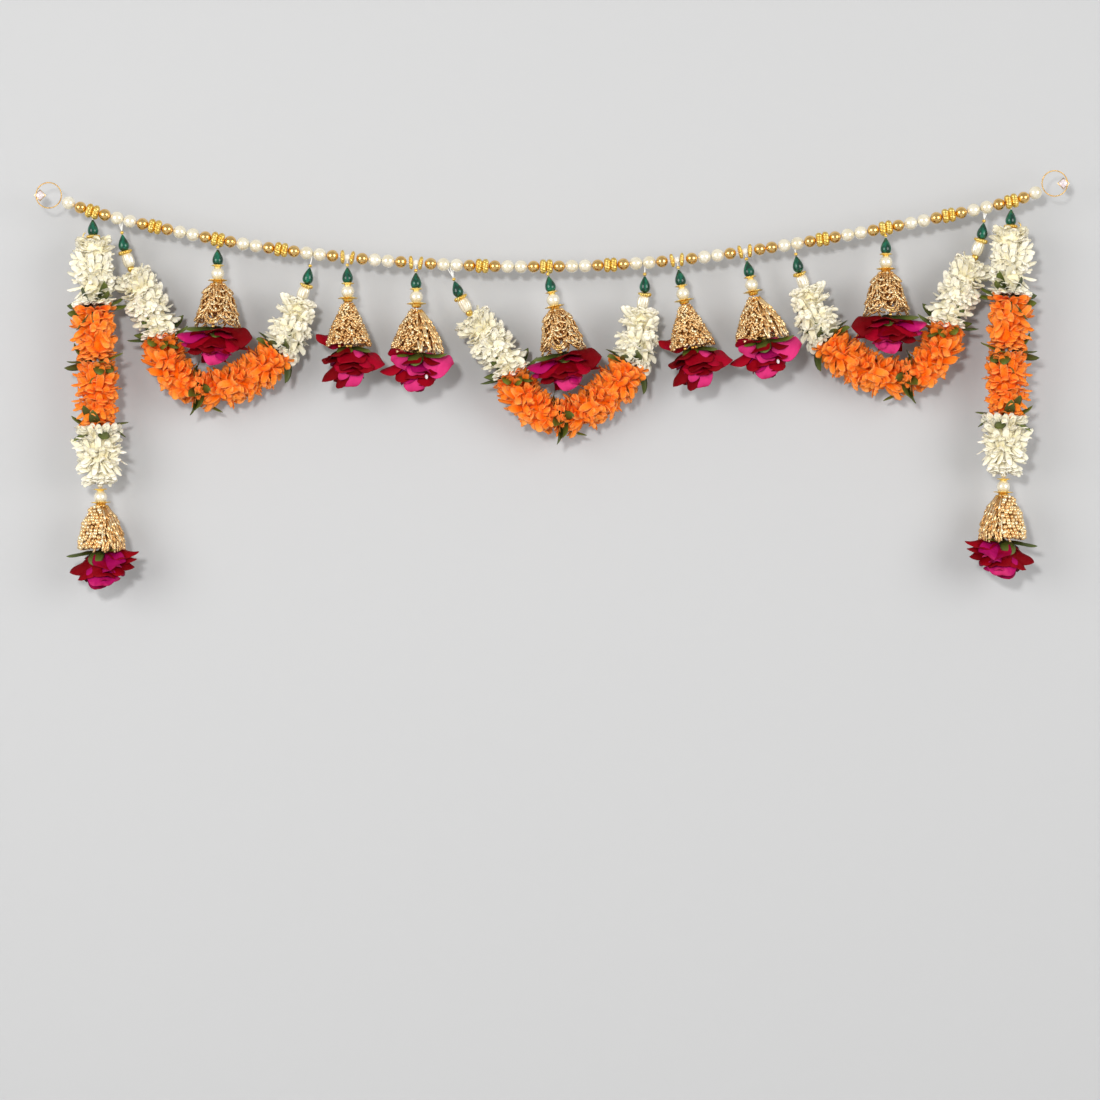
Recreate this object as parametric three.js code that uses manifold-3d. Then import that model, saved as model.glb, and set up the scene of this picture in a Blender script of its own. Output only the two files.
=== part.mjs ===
// Door garland: a sagging string of pearls, gilt beads and rope-edged rondelles between two wire
// rings. From it hang three flower swags, a long flower strand at each end, and seven short drops.
// Each drop is a green teardrop, a pearl and caps, a beaded bell tassel and a fabric rose.
// Units are millimetres, +X to the right, +Y towards the wall, +Z up.
// The origin is midway between the centres of the two rings.
import * as THREE from 'three';
import { mergeVertices } from 'three/addons/utils/BufferGeometryUtils.js';
import Module from 'manifold-3d';

const wasm = await Module();
wasm.setup();

// ---------- driving dimensions ----------
const RING_X = 467.7; // each ring's centre from the middle
const RING_RISE = 5.5; // the right ring is this far above the origin, the left one as far below
const RING_RADIUS = 11.8; // to the middle of the wire
const WIRE = 0.65; // radius of the twisted ring wire
const CRYSTAL = 4; // half the width of the square stone inside each ring
const GAP = 0.4; // left between pieces that touch
const THREAD = 0.6; // radius of the thread

const PEARL = 12; // diameters of the strung beads
const GILT = 10.8;
const RONDELLE = 13.7;
const RONDELLE_WIDTH = 12; // two discs side by side
const OPEN_WIDTH = 16; // the same, where a drop's thread spreads the two discs
const DISC = 4.4; // thickness of one disc
const DISC_MARGIN = 2.4; // of a rondelle's width that its two discs leave free
const RONDELLES = 15;
const OPEN_RONDELLES = [5, 6, 10, 11];
const EXTRA_GILT_AFTER = 11; // one more gilt bead follows this rondelle
const RUNS = { bead_run_left: 25, bead_run_middle: 51, bead_run_right: 76 }; // last bead of each

const TEARDROP = { radius: 4.6, length: 14.6 };
const SMALL_CAP = { radius: 5.8, thickness: 1.6 };
const DROP_PEARL = 12.4;
const BIG_CAP = { radius: 8.8, thickness: 2.4 };
const BARREL = 10.8; // ridged barrel bead on a swag's thread

const WHITE_RADIUS = 19.5; // out to most petal tips
const ORANGE_RADIUS = 18;
const LAYER = 9.5; // one floret on the next along the thread
const SWAG_BACK = 7; // a swag's flowers hang this far behind the string
const DROP_FORWARD = 6; // and a drop this far in front at its foot
const STRAND_FORWARD = 4;

const BELLS = {
  looped: { top: 41.6, radius: 22, length: 40 },
  curled: { top: 41.6, radius: 21, length: 42.5 },
  bugle: { top: 41.6, radius: 25.5, length: 41.5 },
  sequin: { top: 272.4, radius: 21.5, length: 45.5 },
};
const ROSE = { radius: 32, length: 35 };

// Places along a hanging thread, measured from the middle of the bead string.
const DROP_LENGTH = 120;
const DROP_PLACES = { teardrop: 9, cap: 24, pearl: 31.9 };
const STRAND_LENGTH = 356;
const STRAND_PLACES = {
  teardrop: 7.45, cap: 23, whiteUpper: [25, 87], orangeUpper: [89, 138], orangeLower: [139, 200],
  whiteLower: [201, 250], smallPearl: 254.6, lowerCap: 258, pearl: 265.6,
};
const SWAG_PLACES = {
  teardrop: 14.6, cap: 31, barrel: 39, smallBead: 47.6, firstWhite: [52, 116],
  firstOrange: [118, 180], lastOrange: [182, 264], lastWhite: 266,
};
// The same from a swag's far end: where its last flowers end, then its beads.
const SWAG_ENDS = { white: 43, barrel: 36, cap: 29, teardrop: 12 };
const SMALL_BEAD = 6.8;
const STONE_SHARE = 0.4; // a ring stone's half thickness over its half width

const BEAD_SIDES = 6;
const FLOWER_SIDES = 8;
const BELL_SIDES = 9;

// ---------- routes, by hand, [x, z] ----------
// The bead string's thread, from beside the left ring to beside the right one.
const STRING_ROUTE = [
  [-455.3, -10.1], [-440.8, -15.9], [-429.7, -19.8], [-402, -27.2], [-372.4, -33.9], [-313.9, -46],
  [-253.3, -55.8], [-190.7, -63.2], [-126, -68.4], [-65.7, -71.2], [-5.9, -71.8], [55.1, -70.2],
  [118.3, -65.6], [181.7, -57.4], [255.5, -45.8], [316.4, -34.9], [374.7, -23], [403.5, -16.8],
  [432.2, -9.8], [443.2, -6], [455.6, -0.4],
];
// A swag's thread, from the middle of the line between the two places where it is tied.
const SWAG_ROUTE = [
  [-89.3, 16.8], [-87.9, 3.7], [-85.6, -12.4], [-82.4, -21.7], [-80.3, -28.9], [-68.3, -53.9],
  [-55.4, -81.9], [-51.3, -100.9], [-43.3, -121.9], [-28, -137.2], [-16.3, -140.6], [-3.3, -141],
  [14.5, -135.9], [34, -126.4], [48, -115.5], [60, -103.6], [68.8, -85.9], [80.5, -51.2],
  [83.3, -44.9], [85.3, -35.9], [87, -26.9], [89.3, -16.8],
];
const SWAGS = [
  { name: 'left_swag', middle: [-311.75, -44.15], turn: 0, hand: 1 },
  { name: 'middle_swag', middle: [-4.1, -69.8], turn: 11.5, hand: 1 },
  { name: 'right_swag', middle: [314.1, -33.3], turn: 0, hand: -1 },
];
const DROPS = [
  { name: 'drop_1', rondelle: 3, lean: 0, bell: 'looped' },
  { name: 'drop_2', rondelle: 5, lean: 1, bell: 'curled' },
  { name: 'drop_3', rondelle: 6, lean: 1, bell: 'bugle' },
  { name: 'drop_4', rondelle: 8, lean: 11.5, bell: 'looped' },
  { name: 'drop_5', rondelle: 10, lean: 10, bell: 'curled' },
  { name: 'drop_6', rondelle: 11, lean: 11, bell: 'bugle' },
  { name: 'drop_7', rondelle: 13, lean: 0, bell: 'looped' },
];
const STRANDS = [
  { name: 'left_strand', rondelle: 1, lean: 1.7 },
  { name: 'right_strand', rondelle: 15, lean: -1.7 },
];

// ---------- materials ----------
const finish = (color, roughness, metalness = 0) =>
  new THREE.MeshStandardMaterial({ color, roughness, metalness });
const pearlWhite = () => finish(0xf2ead2, 0.25);
const gilt = () => finish(0xe0b050, 0.3, 1);
const champagne = () => finish(0xcfa66a, 0.35, 0.8);
const crimson = () => finish(0x9c0c30, 0.7);
const cream = () => finish(0xf1eed8, 0.85);
const orange = () => finish(0xff7718, 0.85);

// ---------- shapes ----------
// A thread's line through hand-chosen points.
function threadLine(points) {
  const line = new THREE.CatmullRomCurve3(points, false, 'centripetal');
  line.arcLengthDivisions = 1200;
  return line;
}

// The thread of a swag: the route turned and mirrored about its middle, set back from the string.
function swagLine({ middle, turn, hand }) {
  const angle = THREE.MathUtils.degToRad(turn);
  const last = SWAG_ROUTE.length - 1;
  return threadLine(SWAG_ROUTE.map(([x, z], i) => new THREE.Vector3(
    middle[0] + hand * (x * Math.cos(angle) - z * Math.sin(angle)),
    SWAG_BACK * Math.min(1, i / 5, (last - i) / 5),
    middle[1] + x * Math.sin(angle) + z * Math.cos(angle),
  )));
}

// A straight hanging thread from a point of the string, leaning sideways by so many degrees and
// coming forward by a share of its length.
function plumbLine(from, lean, length, forward) {
  const angle = THREE.MathUtils.degToRad(lean);
  const foot = new THREE.Vector3(Math.sin(angle) * length, -forward, -Math.cos(angle) * length);
  return new THREE.LineCurve3(from, from.clone().add(foot));
}

// A turned outline bent along a thread: the outline's points are [radius, place on the thread],
// and the lathe's axis follows the line.
function strung(name, line, outline, sides, material) {
  const length = line.getLength();
  const points = outline.map(([radius, place]) => new THREE.Vector2(radius, place));
  const geometry = new THREE.LatheGeometry(points, sides);
  const at = geometry.attributes.position;
  const depth = new THREE.Vector3(0, 1, 0);
  for (let i = 0; i < at.count; i++) {
    const share = THREE.MathUtils.clamp(at.getY(i) / length, 0, 1);
    const tangent = line.getTangentAt(share);
    const across = tangent.clone().cross(depth).normalize();
    const towards = across.clone().cross(tangent);
    const place = line.getPointAt(share)
      .addScaledVector(across, at.getX(i))
      .addScaledVector(towards, at.getZ(i));
    at.setXYZ(i, place.x, place.y, place.z);
  }
  geometry.computeVertexNormals();
  const mesh = new THREE.Mesh(geometry, material);
  mesh.name = name;
  return mesh;
}

// Outlines: each gives [radius, place] points, in order along the thread.
const closed = (outline) => [[0, outline[0][1]], ...outline, [0, outline.at(-1)[1]]];
const ball = (diameter, middle) => [-50, 0, 50].map((degrees) => {
  const angle = THREE.MathUtils.degToRad(degrees);
  return [Math.cos(angle) * diameter / 2, middle + Math.sin(angle) * diameter / 2];
});
const plate = ({ radius, thickness }, start) =>
  [[radius, start], [radius, start + thickness]];
const teardrop = (start) => [
  [THREAD, start],
  [TEARDROP.radius * 0.72, start + TEARDROP.length * 0.38],
  [TEARDROP.radius, start + TEARDROP.length * 0.66],
  [TEARDROP.radius * 0.66, start + TEARDROP.length * 0.92],
  [THREAD, start + TEARDROP.length],
];

// Florets packed on the thread: one ridge of petal tips for each layer, rounded at both ends.
function florets(start, end, radius) {
  const layers = Math.round((end - start) / LAYER);
  const pitch = (end - start) / layers;
  const outline = [[radius * 0.55, start]];
  for (let i = 0; i < layers; i++) {
    const nearEnd = i === 0 || i === layers - 1 ? 0.88 : 1;
    outline.push([radius * nearEnd, start + (i + 0.45) * pitch]);
    if (i < layers - 1) outline.push([radius * 0.84, start + (i + 1) * pitch]);
  }
  outline.push([radius * 0.5, end]);
  return closed(outline);
}

const bell = ({ top, radius, length }) => closed([
  [4, top], [6, top + 4], [radius * 0.55, top + length * 0.25], [radius * 0.82, top + length * 0.55],
  [radius, top + length * 0.86], [radius * 0.8, top + length],
]);
// A rose facing down: flat calyx on top, wide outer petals, rolled bud at its foot.
const rose = (top) => closed([
  [9, top], [ROSE.radius * 0.8, top + 4], [ROSE.radius, top + 11],
  [ROSE.radius * 0.82, top + 20], [ROSE.radius * 0.5, top + 29], [6, top + ROSE.length],
]);

// ---------- the bead string ----------
// The row of beads and their widths, scaled to fill the thread from ring to ring.
function beadRow(length) {
  const kinds = ['pearl', 'gilt'];
  for (let n = 1; n <= RONDELLES; n++) {
    kinds.push(OPEN_RONDELLES.includes(n) ? 'open' : 'rondelle');
    if (n === EXTRA_GILT_AFTER) kinds.push('gilt');
    kinds.push(...(n < RONDELLES ? ['gilt', 'pearl', 'pearl', 'gilt'] : ['gilt', 'pearl']));
  }
  const width = { pearl: PEARL, gilt: GILT, rondelle: RONDELLE_WIDTH, open: OPEN_WIDTH };
  const slack = (length - 2 * GAP) / kinds.reduce((sum, kind) => sum + width[kind], 0);
  let start = GAP;
  return kinds.map((kind) => {
    const bead = { kind, middle: start + width[kind] * slack / 2, end: start + width[kind] * slack };
    start = bead.end;
    return bead;
  });
}

function discs(middle, width) {
  const offset = (width - DISC) / 2;
  const disc = { radius: RONDELLE / 2, thickness: DISC };
  return [
    ...plate(disc, middle - offset - DISC / 2),
    [THREAD * 2, middle],
    ...plate(disc, middle + offset - DISC / 2),
  ];
}

const stringLine = threadLine(STRING_ROUTE.map(([x, z]) => new THREE.Vector3(x, 0, z)));
const row = beadRow(stringLine.getLength());
const outlineOf = {
  pearl: (middle) => ball(PEARL, middle),
  gilt: (middle) => ball(GILT, middle),
  rondelle: (middle) => discs(middle, RONDELLE_WIDTH - DISC_MARGIN),
  open: (middle) => discs(middle, OPEN_WIDTH - DISC_MARGIN),
};
const rondelles = row.filter(({ kind }) => kind === 'rondelle' || kind === 'open');
const rondellePlace = (n) =>
  stringLine.getPointAt(rondelles[n - 1].middle / stringLine.getLength());

// The string in three runs along its sag, so that the collision hulls follow its curve.
function beadRuns() {
  let first = 0;
  return Object.entries(RUNS).map(([name, last]) => {
    const beads = row.slice(first, last);
    const start = first === 0 ? 0 : row[first - 1].end + GAP / 2;
    const end = last === row.length ? stringLine.getLength() : row[last - 1].end - GAP / 2;
    const outline = [[THREAD, start]];
    beads.forEach(({ kind, middle, end: next }, i) => {
      outline.push(...outlineOf[kind](middle), [THREAD, i < beads.length - 1 ? next : end]);
    });
    first = last;
    return strung(name, stringLine, closed(outline), BEAD_SIDES, pearlWhite());
  });
}

// ---------- rings ----------
function solidOf(geometry) {
  geometry.deleteAttribute('normal');
  geometry.deleteAttribute('uv');
  const merged = mergeVertices(geometry, 1e-4);
  return new wasm.Manifold(new wasm.Mesh({
    numProp: 3, vertProperties: merged.attributes.position.array, triVerts: merged.index.array,
  }));
}

// A wire ring with a cut square stone, on its corner, fixed inside it at its outer side.
function ring(side, sign) {
  const wire = new THREE.TorusGeometry(RING_RADIUS, WIRE, 6, 24).rotateX(Math.PI / 2);
  const half = CRYSTAL * STONE_SHARE;
  const cut = [[0, -half], [CRYSTAL * 0.6, -half], [CRYSTAL, 0], [CRYSTAL * 0.6, half], [0, half]];
  const stone = new THREE.LatheGeometry(cut.map(([r, y]) => new THREE.Vector2(r, y)), 4);
  stone.translate(sign * (RING_RADIUS - CRYSTAL), 0, 0);
  const { vertProperties, triVerts } = solidOf(wire).add(solidOf(stone)).getMesh();
  const geometry = new THREE.BufferGeometry();
  geometry.setAttribute('position', new THREE.BufferAttribute(vertProperties, 3));
  geometry.setIndex(new THREE.BufferAttribute(triVerts, 1));
  geometry.computeVertexNormals();
  const mesh = new THREE.Mesh(geometry, gilt());
  mesh.name = `${side}_ring`;
  mesh.position.set(sign * RING_X, 0, sign * RING_RISE);
  return mesh;
}

// ---------- the hangings ----------
const HEAD_START = RONDELLE / 2 + GAP; // a drop's thread shows from the rondelle's rim

function drop({ name, rondelle, lean, bell: kind }) {
  const line = plumbLine(rondellePlace(rondelle), lean, DROP_LENGTH, DROP_FORWARD);
  const shape = BELLS[kind];
  const head = closed([
    [THREAD, HEAD_START], ...teardrop(DROP_PLACES.teardrop), ...plate(SMALL_CAP, DROP_PLACES.cap),
    ...ball(DROP_PEARL, DROP_PLACES.pearl), ...plate(BIG_CAP, shape.top - GAP - BIG_CAP.thickness),
  ]);
  return [
    strung(`${name}_beads`, line, head, BEAD_SIDES, gilt()),
    strung(`${name}_tassel`, line, bell(shape), BELL_SIDES, champagne()),
    strung(`${name}_rose`, line, rose(shape.top + shape.length + GAP), BELL_SIDES, crimson()),
  ];
}

function strand({ name, rondelle, lean }) {
  const line = plumbLine(rondellePlace(rondelle), lean, STRAND_LENGTH, STRAND_FORWARD);
  const shape = BELLS.sequin;
  const at = STRAND_PLACES;
  const head = closed([
    [THREAD, HEAD_START], ...teardrop(at.teardrop), ...plate(SMALL_CAP, at.cap),
  ]);
  const lower = closed([
    ...ball(DROP_PEARL / 2, at.smallPearl), ...plate(SMALL_CAP, at.lowerCap),
    ...ball(DROP_PEARL, at.pearl), ...plate(BIG_CAP, shape.top - GAP - BIG_CAP.thickness),
  ]);
  const part = (what, outline, sides, material) =>
    strung(`${name}_${what}`, line, outline, sides, material);
  const flowers = (what, [start, end], radius, material) =>
    part(what, florets(start, end, radius), FLOWER_SIDES, material);
  return [
    part('beads', head, BEAD_SIDES, gilt()),
    flowers('white_upper', at.whiteUpper, WHITE_RADIUS, cream()),
    flowers('orange_upper', at.orangeUpper, ORANGE_RADIUS + 2, orange()),
    flowers('orange_lower', at.orangeLower, ORANGE_RADIUS + 1, orange()),
    flowers('white_lower', at.whiteLower, WHITE_RADIUS, cream()),
    part('lower_beads', lower, BEAD_SIDES, gilt()),
    part('tassel', bell(shape), BELL_SIDES, champagne()),
    part('rose', rose(shape.top + shape.length + GAP), BELL_SIDES, crimson()),
  ];
}

// A mirrored swag's thread starts on the right, so the sides in its pieces' names change over.
function swag({ name, ...place }) {
  const line = swagLine(place);
  const length = line.getLength();
  const at = SWAG_PLACES;
  const [first, last] = place.hand > 0 ? ['left', 'right'] : ['right', 'left'];
  const firstBeads = closed([
    [THREAD, HEAD_START], ...teardrop(at.teardrop), ...plate(SMALL_CAP, at.cap),
    ...ball(BARREL, at.barrel), ...ball(SMALL_BEAD, at.smallBead),
  ]);
  const lastTeardrop = teardrop(0)
    .map(([radius, from]) => [radius, length - SWAG_ENDS.teardrop - from])
    .reverse();
  const lastBeads = closed([
    ...ball(BARREL, length - SWAG_ENDS.barrel), ...plate(SMALL_CAP, length - SWAG_ENDS.cap),
    ...lastTeardrop, [THREAD, length - HEAD_START],
  ]);
  const part = (what, outline, sides, material) =>
    strung(`${name}_${what}`, line, outline, sides, material);
  const flowers = (what, start, end, radius, material) =>
    part(what, florets(start, end, radius), FLOWER_SIDES, material);
  return [
    part(`${first}_beads`, firstBeads, BEAD_SIDES, gilt()),
    flowers(`${first}_white`, ...at.firstWhite, WHITE_RADIUS, cream()),
    flowers(`${first}_orange`, ...at.firstOrange, ORANGE_RADIUS, orange()),
    flowers(`${last}_orange`, ...at.lastOrange, ORANGE_RADIUS, orange()),
    flowers(`${last}_white`, at.lastWhite, length - SWAG_ENDS.white, WHITE_RADIUS, cream()),
    part(`${last}_beads`, lastBeads, BEAD_SIDES, gilt()),
  ];
}

const group = new THREE.Group();
group.add(...beadRuns(), ring('left', -1), ring('right', 1));
for (const each of DROPS) group.add(...drop(each));
for (const each of STRANDS) group.add(...strand(each));
for (const each of SWAGS) group.add(...swag(each));

export default group;
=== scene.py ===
"""A door garland of beads, fabric flowers and tassels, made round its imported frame.

Lengths are metres, +X to the right, +Y towards the wall, +Z up, and the origin is midway between
the centres of the two end rings. Nearly every piece is strung on a thread, so it is worked out in
thread coordinates (across, towards the wall, place along the thread) and bent onto the thread's line.
"""
import math

import bpy
import numpy as np
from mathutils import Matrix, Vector


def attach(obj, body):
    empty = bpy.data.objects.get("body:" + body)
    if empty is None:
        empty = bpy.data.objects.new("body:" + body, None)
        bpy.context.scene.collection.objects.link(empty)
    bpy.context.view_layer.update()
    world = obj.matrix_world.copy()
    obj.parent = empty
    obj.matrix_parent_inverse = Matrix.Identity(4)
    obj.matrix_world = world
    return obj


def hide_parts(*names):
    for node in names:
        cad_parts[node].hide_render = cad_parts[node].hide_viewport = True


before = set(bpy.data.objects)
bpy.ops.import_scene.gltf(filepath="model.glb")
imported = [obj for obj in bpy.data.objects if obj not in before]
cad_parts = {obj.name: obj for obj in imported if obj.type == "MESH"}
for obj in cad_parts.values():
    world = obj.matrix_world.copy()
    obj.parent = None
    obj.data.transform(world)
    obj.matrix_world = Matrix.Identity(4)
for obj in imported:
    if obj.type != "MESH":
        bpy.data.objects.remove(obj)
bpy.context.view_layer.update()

# ---------- driving sizes, metres ----------
MM = 0.001
RING_X, RING_RISE = 467.7 * MM, 5.5 * MM
RING_RADIUS, RING_WIRE, RING_TWISTS = 11.8 * MM, 0.36 * MM, 36
PEARL, GILT = 12.0 * MM, 10.8 * MM
BEAD_FIT = 1.035  # the string's balls over their slots, so that neighbours touch on the curve
RONDELLE_WIDTH, OPEN_WIDTH = 12.0 * MM, 16.0 * MM
RONDELLES, OPEN_RONDELLES, EXTRA_GILT_AFTER = 15, (5, 6, 10, 11), 11
STRING_SPARE = 0.4 * MM  # bare thread at each end of the string's beads
TEARDROP, TEARDROP_LENGTH = 5.08 * MM, 16.5 * MM
SEED, SMALL_BEAD, SMALL_PEARL, DROP_PEARL, BARREL = 3.4 * MM, 6.8 * MM, 6.2 * MM, 12.4 * MM, 10.8 * MM
BARREL_LENGTH = 13 * MM
DROP_LENGTH, STRAND_LENGTH = 120 * MM, 356 * MM
SMALL_CAP, WIDE_CAP, CAP_THICKNESS = 5.6 * MM, 8.7 * MM, 1.3 * MM
ROSE_GAP = 0.4 * MM
THREAD = 0.55 * MM
SWAG_BACK, DROP_FORWARD, STRAND_FORWARD = 7 * MM, 6 * MM, 4 * MM
WALL_Y, FLOOR_Z, STAGE_REACH, WALL_TOP = 38 * MM, -1.35, 6.0, 3.0
CAMERA_PLACE, LENS = (-1.6 * MM, -3.0, -335.3 * MM), 105.6
FRONT = -math.pi / 2  # the angle round a thread that faces out from the wall

# ---------- threads: routes, millimetres (x, z) ------------------
STRING_ROUTE = [
    (-455.3, -10.1), (-440.8, -15.9), (-429.7, -19.8), (-402, -27.2), (-372.4, -33.9), (-313.9, -46),
    (-253.3, -55.8), (-190.7, -63.2), (-126, -68.4), (-65.7, -71.2), (-5.9, -71.8), (55.1, -70.2),
    (118.3, -65.6), (181.7, -57.4), (255.5, -45.8), (316.4, -34.9), (374.7, -23), (403.5, -16.8),
    (432.2, -9.8), (443.2, -6), (455.6, -0.4),
]
SWAG_ROUTE = [
    (-89.3, 16.8), (-87.9, 3.7), (-85.6, -12.4), (-82.4, -21.7), (-80.3, -28.9), (-68.3, -53.9),
    (-55.4, -81.9), (-51.3, -100.9), (-43.3, -121.9), (-28, -137.2), (-16.3, -140.6), (-3.3, -141),
    (14.5, -135.9), (34, -126.4), (48, -115.5), (60, -103.6), (68.8, -85.9), (80.5, -51.2),
    (83.3, -44.9), (85.3, -35.9), (87, -26.9), (89.3, -16.8),
]
SWAGS = [
    dict(name="left_swag", middle=(-311.75, -44.15), turn=0, hand=1),
    dict(name="middle_swag", middle=(-4.1, -69.8), turn=11.5, hand=1),
    dict(name="right_swag", middle=(314.1, -33.3), turn=0, hand=-1),
]
DROPS = [
    dict(name="drop_1", rondelle=3, lean=0, kind="looped"),
    dict(name="drop_2", rondelle=5, lean=1, kind="curled"),
    dict(name="drop_3", rondelle=6, lean=1, kind="bugle"),
    dict(name="drop_4", rondelle=8, lean=11.5, kind="looped"),
    dict(name="drop_5", rondelle=10, lean=10, kind="curled"),
    dict(name="drop_6", rondelle=11, lean=11, kind="bugle"),
    dict(name="drop_7", rondelle=13, lean=0, kind="looped", hand=-1),
]
STRANDS = [
    dict(name="left_strand", rondelle=1, lean=1.7),
    dict(name="right_strand", rondelle=15, lean=-1.7, hand=-1),
]
BELLS = {  # top of the beadwork, radius at the hem, length, millimetres
    "looped": (41.6, 19, 40), "curled": (43.0, 19.4, 39.6), "bugle": (44.2, 23.2, 39.0),
    "sequin": (273.4, 19.8, 41.0),
}


# ---------- lines ----------
class Line:
    """A thread's centreline: a centripetal Catmull-Rom curve through its points, measured in metres.
    A hand of -1 mirrors across the thread what is strung on it."""

    def __init__(self, points, hand=1):
        self.hand = hand
        points = np.asarray(points, float)
        before, after = 2 * points[0] - points[1], 2 * points[-1] - points[-2]
        p = np.vstack([before, points, after])
        knots = np.sqrt(np.linalg.norm(np.diff(p, axis=0), axis=1))[:, None]
        d0, d1, d2 = knots[:-2], knots[1:-1], knots[2:]
        a, b, c, d = p[:-3], p[1:-2], p[2:-1], p[3:]
        leave = ((b - a) / d0 - (c - a) / (d0 + d1) + (c - b) / d1) * d1
        arrive = ((c - b) / d1 - (d - b) / (d1 + d2) + (d - c) / d2) * d1
        t = np.linspace(0, 1, 33)[:-1, None, None]
        dense = ((2 * t**3 - 3 * t**2 + 1) * b + (t**3 - 2 * t**2 + t) * leave
                 + (3 * t**2 - 2 * t**3) * c + (t**3 - t**2) * arrive)
        self.points = np.vstack([dense.transpose(1, 0, 2).reshape(-1, 3), points[-1:]])
        steps = np.linalg.norm(np.diff(self.points, axis=0), axis=1)
        self.places = np.concatenate([[0], np.cumsum(steps)])
        self.length = self.places[-1]

    def point(self, place):
        """The point at each place. Past its ends the line runs on straight."""
        place = np.asarray(place, float)
        inside = np.clip(place, 0, self.length)
        at = np.stack([np.interp(inside, self.places, self.points[:, k]) for k in range(3)], -1)
        first = (self.points[1] - self.points[0]) / self.places[1]
        last = (self.points[-1] - self.points[-2]) / (self.length - self.places[-2])
        return at + np.where(place < 0, place, 0)[..., None] * first + (
            np.where(place > self.length, place - self.length, 0)[..., None] * last)

    def bend(self, local):
        """Thread coordinates to the row's frame: across and towards the wall turn with the line."""
        place = local[..., 2]
        reach = 1.5 * MM
        tangent = self.point(place + reach) - self.point(place - reach)
        tangent /= np.linalg.norm(tangent, axis=-1, keepdims=True)
        across = self.hand * np.cross(tangent, [0.0, 1.0, 0.0])
        across /= np.linalg.norm(across, axis=-1, keepdims=True)
        towards = self.hand * np.cross(across, tangent)
        return self.point(place) + across * local[..., :1] + towards * local[..., 1:2]


# ---------- surfaces ----------
class Surface:
    """Points, the four- and three-cornered faces over them, and values kept at each point."""

    def __init__(self, points, quads=(), triangles=(), **values):
        self.points = np.asarray(points, float).reshape(-1, 3)
        self.quads = np.asarray(quads, int).reshape(-1, 4)
        self.triangles = np.asarray(triangles, int).reshape(-1, 3)
        self.values = {k: np.broadcast_to(v, len(self.points)) for k, v in values.items()}

    def bent(self, line):
        """Onto a thread. Thread coordinates are left-handed where hand is 1: each face turns round."""
        way = -line.hand
        return Surface(line.bend(self.points), self.quads[:, ::way], self.triangles[:, ::way],
                       **self.values)


def joined(surfaces):
    """One surface of many: each one's faces are moved on by the points before it."""
    starts = np.cumsum([0] + [len(s.points) for s in surfaces[:-1]])
    names = set().union(*(s.values for s in surfaces))
    values = {n: np.concatenate([s.values.get(n, np.zeros(len(s.points))) for s in surfaces])
              for n in names}
    return Surface(
        np.concatenate([s.points for s in surfaces]),
        np.concatenate([s.quads + k for s, k in zip(surfaces, starts)]),
        np.concatenate([s.triangles + k for s, k in zip(surfaces, starts)]), **values)


def repeated(surface, places, turns=None, sizes=1.0, **values):
    """Copies of a surface: each is scaled, turned by its 3x3 matrix and moved to its place."""
    places = np.asarray(places, float).reshape(-1, 3)
    count, size = len(places), len(surface.points)
    points = surface.points[None] * np.broadcast_to(sizes, count)[:, None, None]
    if turns is not None:
        points = np.einsum("kij,knj->kni", turns, points)
    shift = (np.arange(count) * size)[:, None, None]
    kept = {n: np.tile(v, count) for n, v in surface.values.items()}
    kept.update({n: np.repeat(np.broadcast_to(v, count), size) for n, v in values.items()})
    return Surface(points + places[:, None], surface.quads[None] + shift,
                   surface.triangles[None] + shift, **kept)


def ring_faces(rows, sides):
    """Faces of rows of points that close round, with a pole before the first row and after the last."""
    row, side = np.meshgrid(np.arange(rows - 1), np.arange(sides), indexing="ij")
    on = (side + 1) % sides
    quads = 1 + np.stack([row * sides + side, row * sides + on,
                          (row + 1) * sides + on, (row + 1) * sides + side], -1).reshape(-1, 4)
    side = np.arange(sides)
    on = (side + 1) % sides
    first = np.stack([np.zeros(sides, int), 1 + on, 1 + side], -1)
    last = 1 + (rows - 1) * sides
    end = np.stack([np.full(sides, last + sides), last + side, last + on], -1)
    return quads, np.vstack([first, end])


def turned(outline, sides, lobes=0, depth=0.0, twist=0.0):
    """A turned surface about the third axis from (radius, height) pairs, closed by a pole at each
    end. Its radius swells by depth on each of the lobes, which twist with height (turns a metre)."""
    outline = np.asarray(outline, float)
    angle = np.arange(sides) * 2 * math.pi / sides
    radius, height = outline[:, :1], outline[:, 1:]
    r = radius * (1 + depth * np.cos(lobes * angle + 2 * math.pi * twist * height))
    body = np.stack([r * np.cos(angle), r * np.sin(angle), height + 0 * r], -1).reshape(-1, 3)
    poles = [[0, 0, outline[0, 1]]], [[0, 0, outline[-1, 1]]]
    quads, triangles = ring_faces(len(outline), sides)
    return Surface(np.vstack([poles[0], body, poles[1]]), quads, triangles)


def ball(diameter, sides=28, rows=15, stretch=1.0):
    """A ball: its outline is half a circle."""
    a = np.linspace(-math.pi / 2, math.pi / 2, rows + 2)[1:-1]
    return turned(np.stack([np.cos(a), np.sin(a) * stretch], -1) * diameter / 2, sides)


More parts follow.
